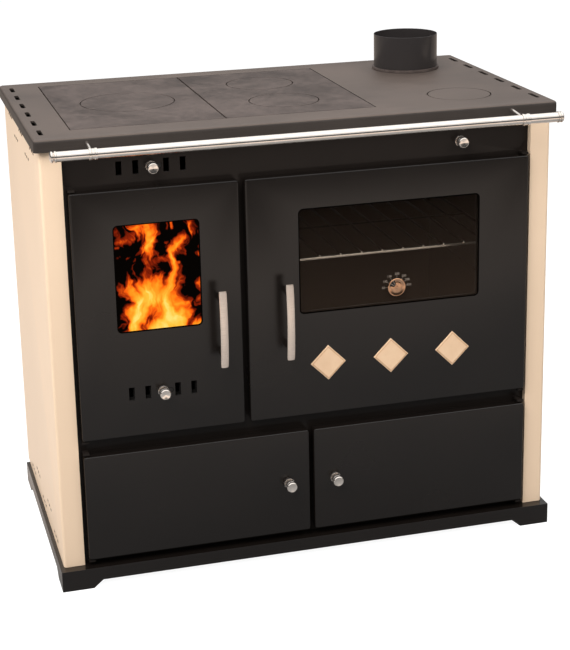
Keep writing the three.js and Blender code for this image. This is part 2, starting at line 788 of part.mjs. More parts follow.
// Storage compartments: open-fronted sheet boxes on the plinth that also carry the casing
function makeStorage() {
  const outer = doorSpan / 2 - mouthInset + storageMargin;
  const z = [plinthHeight + seat, casingBottom - seat];
  const storageBack = hobDepth - storageBackInset;
  const y = [frameBack + seat, storageBack];
  const leftX = [-outer, -storageGap / 2];
  const box = cuboid(leftX, y, z);
  const inside = [y[0] - overrun, storageBack - storageSheet];
  const bin = box.subtract(cuboid(grown(leftX, -storageSheet), inside, grown(z, -storageSheet)));
  addPiece("storage_bin_left", bin, innerSteel);
  addPiece("storage_bin_right", mirrored(bin), innerSteel);
}

// Hob: bearer, steel top, the two cast plates with their lids, and the cleaning lid
const platesX = [platesInset - halfBody, halfBody - platesRightInset];
const platesY = [plateFront, hobDepth - plateBack];
const plateMiddle = middleOf(platesX); // where the two plates meet
const leftPlateX = [platesX[0], plateMiddle - plateGap / 2];
const middlePlateX = [plateMiddle + plateGap / 2, platesX[1]];
const plateBottom = hobHeight - plateThickness;
const bearerTop = hobUnderside - seat;

function makeBearer() {
  const x = grown(casingX, bearerOverhang);
  const y = [bearerFront, hobDepth - bearerBackInset];
  const z = [bearerTop - bearerThickness, bearerTop];
  const through = grown(z, overrun);
  const pocketZ = [plateBottom - seat, bearerTop + overrun];
  const pocket = cuboid(grown(platesX, play), grown(platesY, play), pocketZ);
  const openY = grown(platesY, -bearerLedge);
  const leftOpening = cuboid([platesX[0] + bearerLedge, plateMiddle - bearerLedge], openY, through);
  const middleOpening = cuboid([plateMiddle + bearerLedge, platesX[1] - bearerLedge], openY, through);
  const rightX = [platesX[1] + bearerBridge, x[1] - bearerRim];
  const rightOpening = cuboid(rightX, grown(y, -bearerRim), through);
  const cuts = [pocket, leftOpening, middleOpening, rightOpening];
  addPiece("hob_bearer", cutAll(cuboid(x, y, z), cuts), innerSteel);
}

// The rod of a rail bracket, over lengths that count from the rail's middle
function bracketArm(side, lengths, radius) {
  const arm = rod("y", [side * (halfBody - bracketInset), 0], lengths, radius, pinSides);
  return arm.rotate([armSlope, 0, 0]).translate([0, -railReach, railHeight]);
}

function makeHobTop() {
  const skirtBottom = hobHeight - skirtHeight;
  const slab = softSlab(hobWidth, hobDepth, skirtHeight, hobCornerRadius, hobEdgeRadius);
  const top = slab.translate([0, hobDepth / 2, hobHeight]);
  const hollowX = grown([-hobWidth / 2, hobWidth / 2], -skirtSheet);
  const hollowY = grown([0, hobDepth], -skirtSheet);
  const through = grown([hobUnderside, hobHeight], overrun);
  const cuts = [
    cuboid(hollowX, hollowY, [skirtBottom - overrun, hobUnderside]),
    cuboid(grown(platesX, play), grown(platesY, play), through),
    rod("z", [flueX, cleaningLidY], through, cleaningLidRadius + play),
    rod("z", [flueX, flueY], through, pipeRadius - pipeSheet + seat),
  ];
  for (const side of [-1, 1]) {
    const slotX = side * (hobWidth / 2 - edgeSlotInset);
    for (const slotY of spread(edgeSlotCount, edgeSlotMargin, hobDepth - edgeSlotMargin)) {
      const slot = roundedRectangle(edgeSlotWidth, edgeSlotLength, edgeSlotWidth / 2);
      cuts.push(prism("z", slot, through, slotSteps).translate([slotX, slotY, 0]));
    }
    cuts.push(bracketArm(side, grown([railReach, railReach + skirtSheet], overrun), bracketRodRadius + seat));
  }
  const [ledgeInside, ledgeOutside] = grown([cleaningLidRadius, cleaningLidRadius], lidLip);
  const ledgeBottom = hobUnderside - lidLedgeSheet;
  const lidLedge = turned(
    [
      [ledgeInside, ledgeBottom],
      [ledgeOutside, ledgeBottom],
      [ledgeOutside, hobUnderside],
      [ledgeInside, hobUnderside],
      [ledgeInside, ledgeBottom],
    ],
    [flueX, cleaningLidY],
  );
  addPiece("hob_top", cutAll(top, cuts).add(lidLedge), hobSteel);
}

// A lid's body and the hole for it: a full-size upper half over a smaller lower half
function stepped(radius, lip, [bottom, step, top]) {
  return [
    [0, bottom],
    [radius - lip, bottom],
    [radius - lip, step],
    [radius, step],
    [radius, top],
    [0, top],
  ];
}

const plateWidth = leftPlateX[1] - leftPlateX[0];
const plateDepth = platesY[1] - platesY[0];
const plateMiddleY = middleOf(platesY);
const smallLidRadius = plateDepth * smallLidShare;
const smallLidSpread = plateDepth * smallLidSpreadShare;
const leftLid = {
  name: "lid_left",
  middle: [middleOf(leftPlateX), plateMiddleY],
  radius: plateWidth * leftLidShare,
};
const smallLid = (name, shift) => ({
  name,
  middle: [middleOf(middlePlateX), plateMiddleY + shift],
  radius: smallLidRadius,
});

function makePlate(name, x, lids) {
  const stepHeight = middleOf([plateBottom, hobHeight]);
  let plate = cuboid(x, platesY, [plateBottom, hobHeight]);
  for (const lid of lids) {
    const holeHeights = [plateBottom - overrun, stepHeight, hobHeight + overrun];
    plate = plate.subtract(turned(stepped(lid.radius + play, lidLip, holeHeights), lid.middle));
    const lidHeights = [plateBottom, stepHeight + seat, hobHeight];
    addPiece(lid.name, turned(stepped(lid.radius, lidLip, lidHeights), lid.middle), castIron);
  }
  addPiece(name, plate, castIron);
}

function makeCleaningLid() {
  const z = [hobUnderside + seat, hobHeight];
  addPiece("cleaning_lid", rod("z", [flueX, cleaningLidY], z, cleaningLidRadius), hobSteel);
}

// Flue: a flanged collar in the hob, with the smoke pipe pushed over it
function makeFlue() {
  const outer = pipeRadius - pipeSheet - seat;
  const inner = outer - collarSheet;
  const flangeRadius = pipeRadius + collarFlange;
  const flangeBottom = hobHeight + seat;
  const flangeTop = flangeBottom + collarThickness;
  const foot = hobUnderside - bearerThickness;
  const collar = [
    [inner, foot],
    [outer, foot],
    [outer, flangeBottom],
    [flangeRadius, flangeBottom],
    [flangeRadius, flangeTop],
    [outer, flangeTop],
    [outer, flangeTop + collarSpigot],
    [inner, flangeTop + collarSpigot],
    [inner, foot],
  ];
  const pipeBottom = flangeTop + seat;
  const pipe = [
    [pipeRadius - pipeSheet, pipeBottom],
    [pipeRadius, pipeBottom],
    [pipeRadius, pipeBottom + pipeHeight],
    [pipeRadius - pipeSheet, pipeBottom + pipeHeight],
    [pipeRadius - pipeSheet, pipeBottom],
  ];
  addPiece("flue_collar", turned(collar, [flueX, flueY]), castIron);
  addPiece("flue_pipe", turned(pipe, [flueX, flueY]), blackPaint);
}

// Damper: a baffle round the flue's corner, with a port that a valve plate on a pull rod covers
function makeDamper() {
  const z = [ovenZ[1] + seat, casingTop];
  const walls = [
    cuboid([baffleLeft, casingX[1] - casingSheet - seat], [baffleFront, baffleFront + baffleSheet], z),
    cuboid([baffleLeft, baffleLeft + baffleSheet], [baffleFront, casingBack - casingSheet - seat], z),
  ];
  const portY = grown([baffleFront, baffleFront + baffleSheet], overrun);
  const port = rod("y", [damperX, damperHeight], portY, portRadius);
  addPiece("flue_baffle", walls[0].add(walls[1]).subtract(port), innerSteel);

  const valveY = [baffleFront - seat - valveSheet, baffleFront - seat];
  const valve = rod("y", [damperX, damperHeight], valveY, valveRadius);
  const pullRod = rod("y", [damperX, damperHeight], [frameFront, valveY[1]], damperRodRadius, pinSides);
  addPiece("damper_rod", valve.add(pullRod), innerSteel);
}

// A knob as a turned piece that points to the front, with its back at y = 0 and an optional stem behind
function knobShape(stemLength = 0) {
  const length = knobRing + knobNeck + knobHead;
  const profile = [
    [0, 0],
    [knobRadius, 0],
    [knobRadius, knobRing],
    [knobNeckRadius, knobRing],
    [knobNeckRadius, knobRing + knobNeck],
    [knobRadius, knobRing + knobNeck],
    [knobRadius, length - knobChamfer],
    [knobRadius - knobChamfer, length],
    [0, length],
  ];
  const knob = turnedForward(profile, knobSides);
  if (stemLength === 0) return knob;
  return knob.add(rod("y", [0, 0], [-weld, stemLength], knobStemRadius, pinSides));
}

// Air sliders: behind the slots of the fire door and of the front frame
function makeAirSlider(prefix, height, faceY, sheet) {
  const y = [faceY + sheet + seat, faceY + sheet + seat + sliderSheet];
  const outline = airPlateOutline(height);
  const plate = cutAll(cuboid(outline.x, y, outline.z), airSlots(height, grown(y, overrun)));
  addPiece(`${prefix}_air_plate`, plate, innerSteel);
  addPiece(`${prefix}_air_knob`, knobShape(sheet + seat), chrome, [fireDoorMiddle, faceY - seat, height]);
}

// Doors: a folded tray, a window, a liner with a catch, and a seal against the frame
function doorTray(door, cuts) {
  const [width, height] = [door.x[1] - door.x[0], door.z[1] - door.z[0]];
  const slab = softSlab(width, height, doorDepth, doorCornerRadius, doorEdgeRadius);
  const upright = slab.rotate([90, 0, 0]).translate([middleOf(door.x), 0, middleOf(door.z)]);
  const hollowY = [doorSheet, doorDepth + overrun];
  const hollow = cuboid(grown(door.x, -doorSheet), hollowY, grown(door.z, -doorSheet));
  const pinHoles = rod("z", [door.hingeX, hingeDepth], grown(door.z, overrun), pinRadius + pinPlay, pinSides);
  return cutAll(upright, [hollow, pinHoles, ...cuts]);
}

function ring(outer, inner, y) {
  return cuboid(outer.x, y, outer.z).subtract(cuboid(inner.x, grown(y, overrun), inner.z));
}

const outlineGrown = (outline, by) => ({ x: grown(outline.x, by), z: grown(outline.z, by) });

function makeWindowedDoor(prefix, door, airCuts) {
  const skinY = grown([0, doorSheet], overrun);
  const [windowX, windowZ] = [door.window.x, door.window.z];
  const [width, height] = [windowX[1] - windowX[0], windowZ[1] - windowZ[0]];
  const windowOutline = roundedRectangle(width, height, windowCornerRadius);
  const windowCut = prism("y", windowOutline, skinY).translate([middleOf(windowX), 0, middleOf(windowZ)]);
  addPiece(`${prefix}_door_panel`, doorTray(door, [windowCut, ...airCuts.panel]), blackPaint);

  const glassY = [doorSheet + seat, doorSheet + seat + glassThickness];
  const glass = outlineGrown(door.window, glassMargin);
  addPiece(`${prefix}_door_glass`, cuboid(glass.x, glassY, glass.z), clearGlass);

  const linerY = [doorDepth - seat - linerSheet, doorDepth - seat];
  const frameY = [glassY[1] + seat, linerY[0] - seat];
  const windowFrame = ring(outlineGrown(door.window, windowFrameWidth), door.window, frameY);
  addPiece(`${prefix}_window_frame`, windowFrame, blackPaint);

  const liner = cutAll(ring(outlineGrown(door, -doorSheet - seat), door.window, linerY), airCuts.liner);
  const freeEdge = door.hinge < 0 ? door.mouth.x[1] : door.mouth.x[0];
  const inward = door.hinge < 0 ? -1 : 1;
  const catchEdge = freeEdge + inward * catchInset;
  const catchX = [catchEdge, catchEdge + inward * catchSheet].sort((a, b) => a - b);
  const catchY = [linerY[0], frameBack + catchReach];
  const catchZ = [handleHeight - catchHeight / 2, handleHeight + catchHeight / 2];
  addPiece(`${prefix}_door_liner`, liner.add(cuboid(catchX, catchY, catchZ)), innerSteel);

  const sealOuter = outlineGrown(door.mouth, sealWidth + play);
  const sealInner = outlineGrown(door.mouth, play);
  addPiece(`${prefix}_door_seal`, ring(sealOuter, sealInner, [doorDepth, frameFront - seat]), gasket);
}

// A handle about its own middle: a bar bowed outwards on two posts, which stand on y = 0
function handleShape() {
  const half = handleLength / 2;
  const outline = new THREE.Shape();
  const faceAt = (t) => handleBow * (t / half) ** 2 - handleReach;
  const points = [];
  for (let i = 0; i <= handleSteps; i++) {
    const t = -half + (handleLength * i) / handleSteps;
    points.push([t, faceAt(t)]);
  }
  outline.setFromPoints([
    ...points.map(([t, y]) => new THREE.Vector2(y, t)),
    ...points.toReversed().map(([t, y]) => new THREE.Vector2(y + handleSheet, t)),
  ]);
  const bar = prism("x", outline, [-handleWidth / 2, handleWidth / 2]);
  const postAt = half - postInset;
  const postY = [faceAt(postAt) + handleSheet - weld, 0];
  const posts = [-1, 1].map((end) => rod("y", [0, end * postAt], postY, postRadius, pinSides));
  return bar.add(posts[0]).add(posts[1]);
}

function makeHandles() {
  const fireHandleX = fireDoor.x[1] - fireHandleInset;
  const ovenHandleX = ovenDoor.x[0] + ovenHandleInset;
  addPiece("fire_door_handle", handleShape(), satinSteel, [fireHandleX, -seat, handleHeight]);
  addPiece("oven_door_handle", handleShape(), satinSteel, [ovenHandleX, -seat, handleHeight]);
}

function makeStorageDoor(side, door) {
  addPiece(`storage_door_${side}`, doorTray(door, []), blackPaint);
  const freeEdge = door.hinge < 0 ? door.x[1] : door.x[0];
  const knobX = freeEdge + door.hinge * storageKnobInset;
  addPiece(`storage_knob_${side}`, knobShape(), chrome, [knobX, -seat, middleOf(door.z)]);
}

// The thermometer's disc about its own middle, with its back at y = 0
function thermometerDisc() {
  const disc = turnedForward([
    [0, 0],
    [dialRadius, 0],
    [dialRadius, discRim],
    [dialRadius - rimWidth, discShoulder],
    [dishRadius, discDish],
    [discHub, discShoulder],
    [0, discShoulder],
  ]);
  const [from, to] = sightDirections.map(THREE.MathUtils.degToRad);
  const arc = (radius) => {
    const points = [];
    for (let i = 0; i <= sightSteps; i++) {
      const angle = from + ((to - from) * i) / sightSteps;
      points.push([radius * Math.cos(angle), radius * Math.sin(angle)]);
    }
    return points;
  };
  const fan = [...arc(dialRadius - rimWidth), ...arc(discHub).toReversed()];
  return disc.subtract(prism("y", fan, [-overrun, overrun]));
}

// Thermometer on the oven glass, and the diamond tiles below the window
function makeOvenTrim() {
  const dialX = middleOf(ovenDoor.window.x) + dialShift;
  const dialZ = windowHeights[0] + dialRise;
  const baseY = [doorSheet - dialThickness, doorSheet];
  addPiece("thermometer_base", rod("y", [dialX, dialZ], baseY, dialRadius - rimWidth / 2), blackPaint);
  addPiece("thermometer_disc", thermometerDisc(), copper, [dialX, baseY[0] - seat, dialZ]);

  const ovenWindowWidth = ovenDoor.window.x[1] - ovenDoor.window.x[0];
  const halfDiagonal = (ovenWindowWidth * tileSideShare) / Math.SQRT2;
  const outerTile = (ovenWindowWidth * tilePitchShare * (tileCount - 1)) / 2;
  const z = upperDoorBottom + tileRise;
  for (const [i, x] of spread(tileCount, ovenDoorMiddle - outerTile, ovenDoorMiddle + outerTile).entries()) {
    const diamond = [
      [x - halfDiagonal, z],
      [x, z - halfDiagonal],
      [x + halfDiagonal, z],
      [x, z + halfDiagonal],
    ];
    addPiece(`tile_${i + 1}`, prism("y", diamond, [-seat - tileThickness, -seat]), glazedTile);
  }
}

// Towel rail: a chrome tube with turned end caps, on two rods from the hob's skirt
function makeRail() {
  const half = halfBody - railInset;
  const axis = [-railReach, railHeight];
  const bore = rod("x", axis, grown([-half, half], overrun), railRadius - railSheet);
  addPiece("towel_rail", rod("x", axis, [-half, half], railRadius).subtract(bore), chrome);
  for (const [side, name] of [[-1, "left"], [1, "right"]]) {
    const along = (from, to) => [side * from, side * to].sort((a, b) => a - b);
    const head = rod("x", axis, along(half + seat, half + seat + capLength), capRadius);
    const plug = rod("x", axis, along(half - capPlug, half + seat + weld), railRadius - railSheet - seat);
    addPiece(`rail_cap_${name}`, head.add(plug), chrome);

    const x = side * (halfBody - bracketInset);
    const collarX = [x - bracketCollarWidth / 2, x + bracketCollarWidth / 2];
    const collar = rod("x", axis, collarX, bracketCollarRadius);
    const arm = bracketArm(side, [0, railReach + skirtSheet + bracketRodTail], bracketRodRadius);
    const railHole = rod("x", axis, grown(collarX, overrun), railRadius + seat);
    addPiece(`rail_bracket_${name}`, collar.add(arm).subtract(railHole), chrome);
  }
}

makePlinth();
makeSidePanels();
makeRearPanel();
makeFrontFrame();
makeCasing();
makeGrate();
makeBricks();
makeAshPan();
makeOven();
makeRack();
makeStorage();
makeBearer();
makeHobTop();
makePlate("hob_plate_left", leftPlateX, [leftLid]);
makePlate("hob_plate_middle", middlePlateX, [
  smallLid("lid_back", smallLidSpread),
  smallLid("lid_front", -smallLidSpread),
]);
makeCleaningLid();
makeFlue();
makeDamper();
addPiece("damper_knob", knobShape(), chrome, [damperX, frameFront - seat, damperHeight]);
const fireDoorAir = {
  panel: [
    ...airSlots(primaryAirHeight, grown([0, doorSheet], overrun)),
    knobSlot(primaryAirHeight, grown([0, doorSheet], overrun)),
  ],
  liner: airSlots(primaryAirHeight, [doorSheet, doorDepth + overrun]),
};
makeWindowedDoor("fire", fireDoor, fireDoorAir);
makeWindowedDoor("oven", ovenDoor, { panel: [], liner: [] });
makeAirSlider("primary", primaryAirHeight, 0, doorSheet);
makeAirSlider("secondary", secondaryAirHeight, frameFront, frameSheet);
makeHandles();
makeStorageDoor("left", storageDoors.left);
makeStorageDoor("right", storageDoors.right);
makeOvenTrim();
makeRail();

// The origin: on the floor, midway between the rail's front and the hob's back edge
stove.position.y = -(hobDepth - railReach - bracketCollarRadius) / 2;

export default stove;
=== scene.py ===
# Looks of the solid-fuel cookstove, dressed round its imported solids. Metres, in the solids' frame:
# +Z up, the front with the doors faces -Y, and the oven stands on the +X side.
import json
import math

import bmesh
import bpy
from mathutils import Matrix, Vector

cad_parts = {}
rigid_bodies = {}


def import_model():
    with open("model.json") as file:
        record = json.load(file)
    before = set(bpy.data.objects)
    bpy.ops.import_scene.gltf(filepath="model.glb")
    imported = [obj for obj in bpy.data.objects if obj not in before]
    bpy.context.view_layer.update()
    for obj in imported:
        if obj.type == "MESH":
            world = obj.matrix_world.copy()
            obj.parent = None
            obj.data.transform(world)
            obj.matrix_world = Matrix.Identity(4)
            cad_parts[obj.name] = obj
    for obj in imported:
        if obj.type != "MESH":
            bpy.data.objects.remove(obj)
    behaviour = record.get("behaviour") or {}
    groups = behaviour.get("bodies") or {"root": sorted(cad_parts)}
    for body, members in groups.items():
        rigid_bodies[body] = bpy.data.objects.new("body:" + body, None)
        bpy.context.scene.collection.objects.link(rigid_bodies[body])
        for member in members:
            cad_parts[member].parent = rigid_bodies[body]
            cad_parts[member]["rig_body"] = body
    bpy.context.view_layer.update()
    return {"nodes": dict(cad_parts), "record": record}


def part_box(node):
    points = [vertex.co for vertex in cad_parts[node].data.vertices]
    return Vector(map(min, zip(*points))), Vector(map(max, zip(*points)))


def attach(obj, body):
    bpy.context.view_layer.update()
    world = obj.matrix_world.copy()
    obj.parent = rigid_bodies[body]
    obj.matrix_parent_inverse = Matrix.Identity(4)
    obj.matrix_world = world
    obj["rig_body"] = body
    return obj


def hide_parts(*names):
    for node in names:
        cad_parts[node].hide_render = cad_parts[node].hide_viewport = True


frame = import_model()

# Fineness of the turned and rounded forms
round_segments = 64
large_segments = 128
post_segments = 24
wire_segments = 12
corner_steps = 6
edge_steps = 5
fillet_steps = 4
rod_end_share = 1 / 3  # of a bar's radius that its end is rounded by

# Fits
sheet_gap = 0.0003
lid_gap = 0.002
cut_overrun = 0.004
weld_distance = 0.000003

# Angles in degrees: between faces that still count as one, and at edges that are rounded
flat_angle = 0.5
sharp_angle = 35
bevel_segments = 2

# Hob
hob_sheet = 0.004
skirt_sheet = 0.003
hob_edge_radius = 0.006
hob_corner_radius = 0.008
edge_slot_length = 0.043
edge_slot_width = 0.008
edge_slot_radius = 0.00396
edge_slot_inset = 0.02
edge_slot_margin = 0.065
edge_slot_count = 6
lid_lip = 0.008
lid_ledge_sheet = 0.004
# Painted shade: a darker colour of the hob's steel for its upright faces
skirt_shade_colour = (0.038, 0.031, 0.027)

# Doors
door_sheet = 0.002
door_corner_radius = 0.005
door_edge_radius = 0.003
window_corner_radius = 0.009
pin_hole_radius = 0.0034
hinge_inset = 0.006
hinge_depth = 0.01
air_slot_size = (0.0105, 0.025)
air_slot_offsets = (-0.0575, -0.0275, 0.0275, 0.0575)
knob_slot_reach = 0.0045
slider_travel = 0.015

# The louvres' slots lie behind the folded pillar. Their walls are made near black: painted shade inside the
# slots.
pillar_depth = 0.03
slots_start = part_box("side_panel_left")[0].y + pillar_depth
slot_shade_colour = (0.03, 0.019, 0.012)

# A face that is this far from facing one way is taken as an edge
edge_on = 0.5

# Edges that are only broken, not rounded
fine_edge = 0.0004
broken_edge = 0.0008
cast_edge = 0.0012

collection = bpy.context.scene.collection


# Points and skins

def moved(points, axis, centre):
    """(u, v, along) points laid on an axis through a centre."""
    order = {"x": (2, 0, 1), "y": (0, 2, 1), "z": (0, 1, 2)}[axis]
    return [Vector([point[i] for i in order]) + centre for point in points]


def fillet(points, radius, closed=False):
    """The corners of a line of 2-D points, rounded off."""
    done = []
    count = len(points)
    for i, corner in enumerate(points):
        if not closed and i in (0, count - 1):
            done.append(corner)
            continue
        here = Vector(corner)
        before = Vector(points[i - 1]) - here
        after = Vector(points[(i + 1) % count]) - here
        reach = min(radius, before.length / 2, after.length / 2)
        start = here + before.normalized() * reach
        end = here + after.normalized() * reach
        for step in range(fillet_steps + 1):
            t = step / fillet_steps
            point = start * (1 - t) ** 2 + here * (2 * t * (1 - t)) + end * t**2
            done.append((point.x, point.y))
    return done


def rounded_outline(low, high, radius):
    """Points round a rectangle with rounded corners, against the clock."""
    corners = (
        (high[0] - radius, low[1] + radius),
        (high[0] - radius, high[1] - radius),
        (low[0] + radius, high[1] - radius),
        (low[0] + radius, low[1] + radius),
    )
    points = []
    for turn, (u, v) in enumerate(corners):
        for step in range(corner_steps + 1):
            angle = math.radians(90 * (turn - 1 + step / corner_steps))
            points.append((u + radius * math.cos(angle), v + radius * math.sin(angle)))
    return points


def inset_outline(low, high, inset, radius):
    """A rounded rectangle drawn in from one whose corners have the radius."""
    corners = (low[0] + inset, low[1] + inset), (high[0] - inset, high[1] - inset)
    return rounded_outline(*corners, max(radius - inset, fine_edge))


def centred(middle, size, radius):
    """A rounded rectangle of some width and height round a 2-D point."""
    (u, v), (width, height) = middle, size
    corners = (u - width / 2, v - height / 2), (u + width / 2, v + height / 2)
    return rounded_outline(*corners, radius)


def laid(outline, axis, along):
    """A 2-D outline laid square to an axis."""
    return moved([(u, v, along) for u, v in outline], axis, Vector())


def ring_section(inner, outer, start, end):
    return [(inner, start), (outer, start), (outer, end), (inner, end)]


def mesh_of(form, name):
    mesh = bpy.data.meshes.new(name)
    form.to_mesh(mesh)
    form.free()
    return mesh


def skin(loops, closed=False):
    """A closed mesh over loops of equally many points, capped at both ends or joined end to start."""
    form = bmesh.new()
    rings = [[form.verts.new(point) for point in loop] for loop in loops]
    pairs = list(zip(rings, rings[1:]))
    if closed:
        pairs.append((rings[-1], rings[0]))
    for ring, following in pairs:
        for i in range(len(ring)):
            j = (i + 1) % len(ring)
            form.faces.new((ring[i], ring[j], following[j], following[i]))
    if not closed:
        form.faces.new(rings[0][::-1])
        form.faces.new(rings[-1])
    bmesh.ops.recalc_face_normals(form, faces=form.faces)
    return mesh_of(form, "skin")


def joined(meshes):
    """One mesh that holds several."""
    form = bmesh.new()
    for mesh in meshes:
        form.from_mesh(mesh)
        bpy.data.meshes.remove(mesh)
    return mesh_of(form, "joined")


def turned(profile, axis, centre, segments=round_segments, closed=False):
    """A turned skin from (radius, along) points."""
    loops = []
    for radius, along in profile:
        ring = []
        for i in range(segments):
            angle = 2 * math.pi * i / segments
            ring.append((radius * math.cos(angle), radius * math.sin(angle), along))
        loops.append(moved(ring, axis, Vector(centre)))
    return skin(loops, closed)


def rod(start, end, radius, segments=wire_segments):
    """A round bar with softened ends."""
    start, end = Vector(start), Vector(end)
    span = end - start
    soft, length = radius * rod_end_share, span.length
    profile = [(radius - soft, 0), (radius, soft), (radius, length - soft), (radius - soft, length)]
    bar = turned(profile, "z", (0, 0, 0), segments)
    bar.transform(Matrix.Translation(start) @ span.to_track_quat("Z", "Y").to_matrix().to_4x4())
    return bar


def block(low, high):
    """A box between two corners."""
    outline = [(low[0], low[1]), (high[0], low[1]), (high[0], high[1]), (low[0], high[1])]
    return slab(outline, "z", low[2], high[2])


def upright(profile, middle, segments=round_segments, closed=False):
    """A skin turned round the vertical through a place."""
    return turned(profile, "z", (middle.x, middle.y, 0), segments, closed)


def hole(middle, radius, heights, segments=round_segments):
    """What a drill takes out between two heights."""
    return upright([(radius, z) for z in heights], middle, segments)


def slab(outline, axis, start, end):
    """A 2-D outline carried along an axis."""
    return skin([laid(outline, axis, along) for along in (start, end)])


def folded(corners, axis, face, back, radii, sheets):
    """A sheet with its sides folded back: radii of its corners and its edge, sheets of side and face."""
    inwards = math.copysign(1, back - face)

    def outline(inset, along):
        return laid(inset_outline(*corners, inset, radii[0]), axis, along)

    loops = []
    for step in range(edge_steps + 1):
        angle = math.radians(90 * step / edge_steps)
        drop = radii[1] * (1 - math.cos(angle))
        loops.append(outline(radii[1] * (1 - math.sin(angle)), face + inwards * drop))
    loops += [outline(0, back), outline(sheets[0], back), outline(sheets[0], face + inwards * sheets[1])]
    return skin(loops)


# Pieces

node_slots = {part["node"]: part["material_slot"] for part in frame["record"]["subparts"]}
finishes = {}


def linked(name, data):
    added = bpy.data.objects.new(name, data)
    collection.objects.link(added)
    return added


def evaluated(holder):
    """The mesh that an object shows."""
    bpy.context.view_layer.update()
    shown = holder.evaluated_get(bpy.context.evaluated_depsgraph_get())
    return bpy.data.meshes.new_from_object(shown)


def piece(name, mesh, body, slot, replaced=(), smooth=35, material=None):
    """Adds a piece that rides on a body and stands for the CAD nodes it replaces."""
    added = linked(name, mesh)
    mesh.name = name
    mesh.materials.clear()
    mesh.materials.append(material or finishes[slot])
    mesh.shade_smooth()
    mesh.set_sharp_from_angle(angle=math.radians(smooth))
    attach(added, body)
    if replaced:
        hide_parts(*replaced)
    return added


def stand_in(node, mesh, smooth=35, material=None):
    """A finer form of one CAD node."""
    body = frame["nodes"][node]["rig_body"]
    return piece(node + "_finished", mesh, body, node_slots[node], [node], smooth, material)


def cut(mesh, cutters):
    """A mesh with closed forms cut out of it."""
    base, tool = linked("base", mesh), linked("tool", joined(cutters))
    difference = base.modifiers.new("cut", "BOOLEAN")
    difference.operation = "DIFFERENCE"
    difference.solver = "EXACT"
    difference.object = tool
    result = evaluated(base)
    for helper in (base, tool):
        bpy.data.objects.remove(helper)
    return result


def soften(target, width):
    """Rounds the sharp edges of a piece."""
    bevel = target.modifiers.new("soft edges", "BEVEL")
    bevel.width = width
    bevel.segments = bevel_segments
    bevel.limit_method = "ANGLE"
    bevel.angle_limit = math.radians(sharp_angle)
    bevel.harden_normals = True


def copied(node):
    """A CAD node's mesh with its flat faces joined again, so that its edges can be softened."""
    form = bmesh.new()
    form.from_mesh(frame["nodes"][node].data)
    bmesh.ops.remove_doubles(form, verts=form.verts, dist=weld_distance)
    flat = math.radians(flat_angle)
    bmesh.ops.dissolve_limit(form, angle_limit=flat, verts=form.verts, edges=form.edges)
    return mesh_of(form, node)


def middle_of(node):
    low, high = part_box(node)
    return (low + high) / 2


def half_width(node):
    low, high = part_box(node)
    return (high.x - low.x) / 2


# Materials

# A noise's values mostly lie between these
noise_span = (0.3, 0.7)

# How far noise wobbles the painted shading of the oven glass
shade_wobble_height = 0.02
turning_rings = 14000  # radians of the dial's rings in a metre

# Depths of a surface's relief
turning_depth = 0.00004
hairline = 0.00005
fine_grain = 0.0001
wear_depth = 0.0002
soft_peel = 0.0004
peel_depth = 0.0006
weave_depth = 0.0008
ripple_depth = 0.002


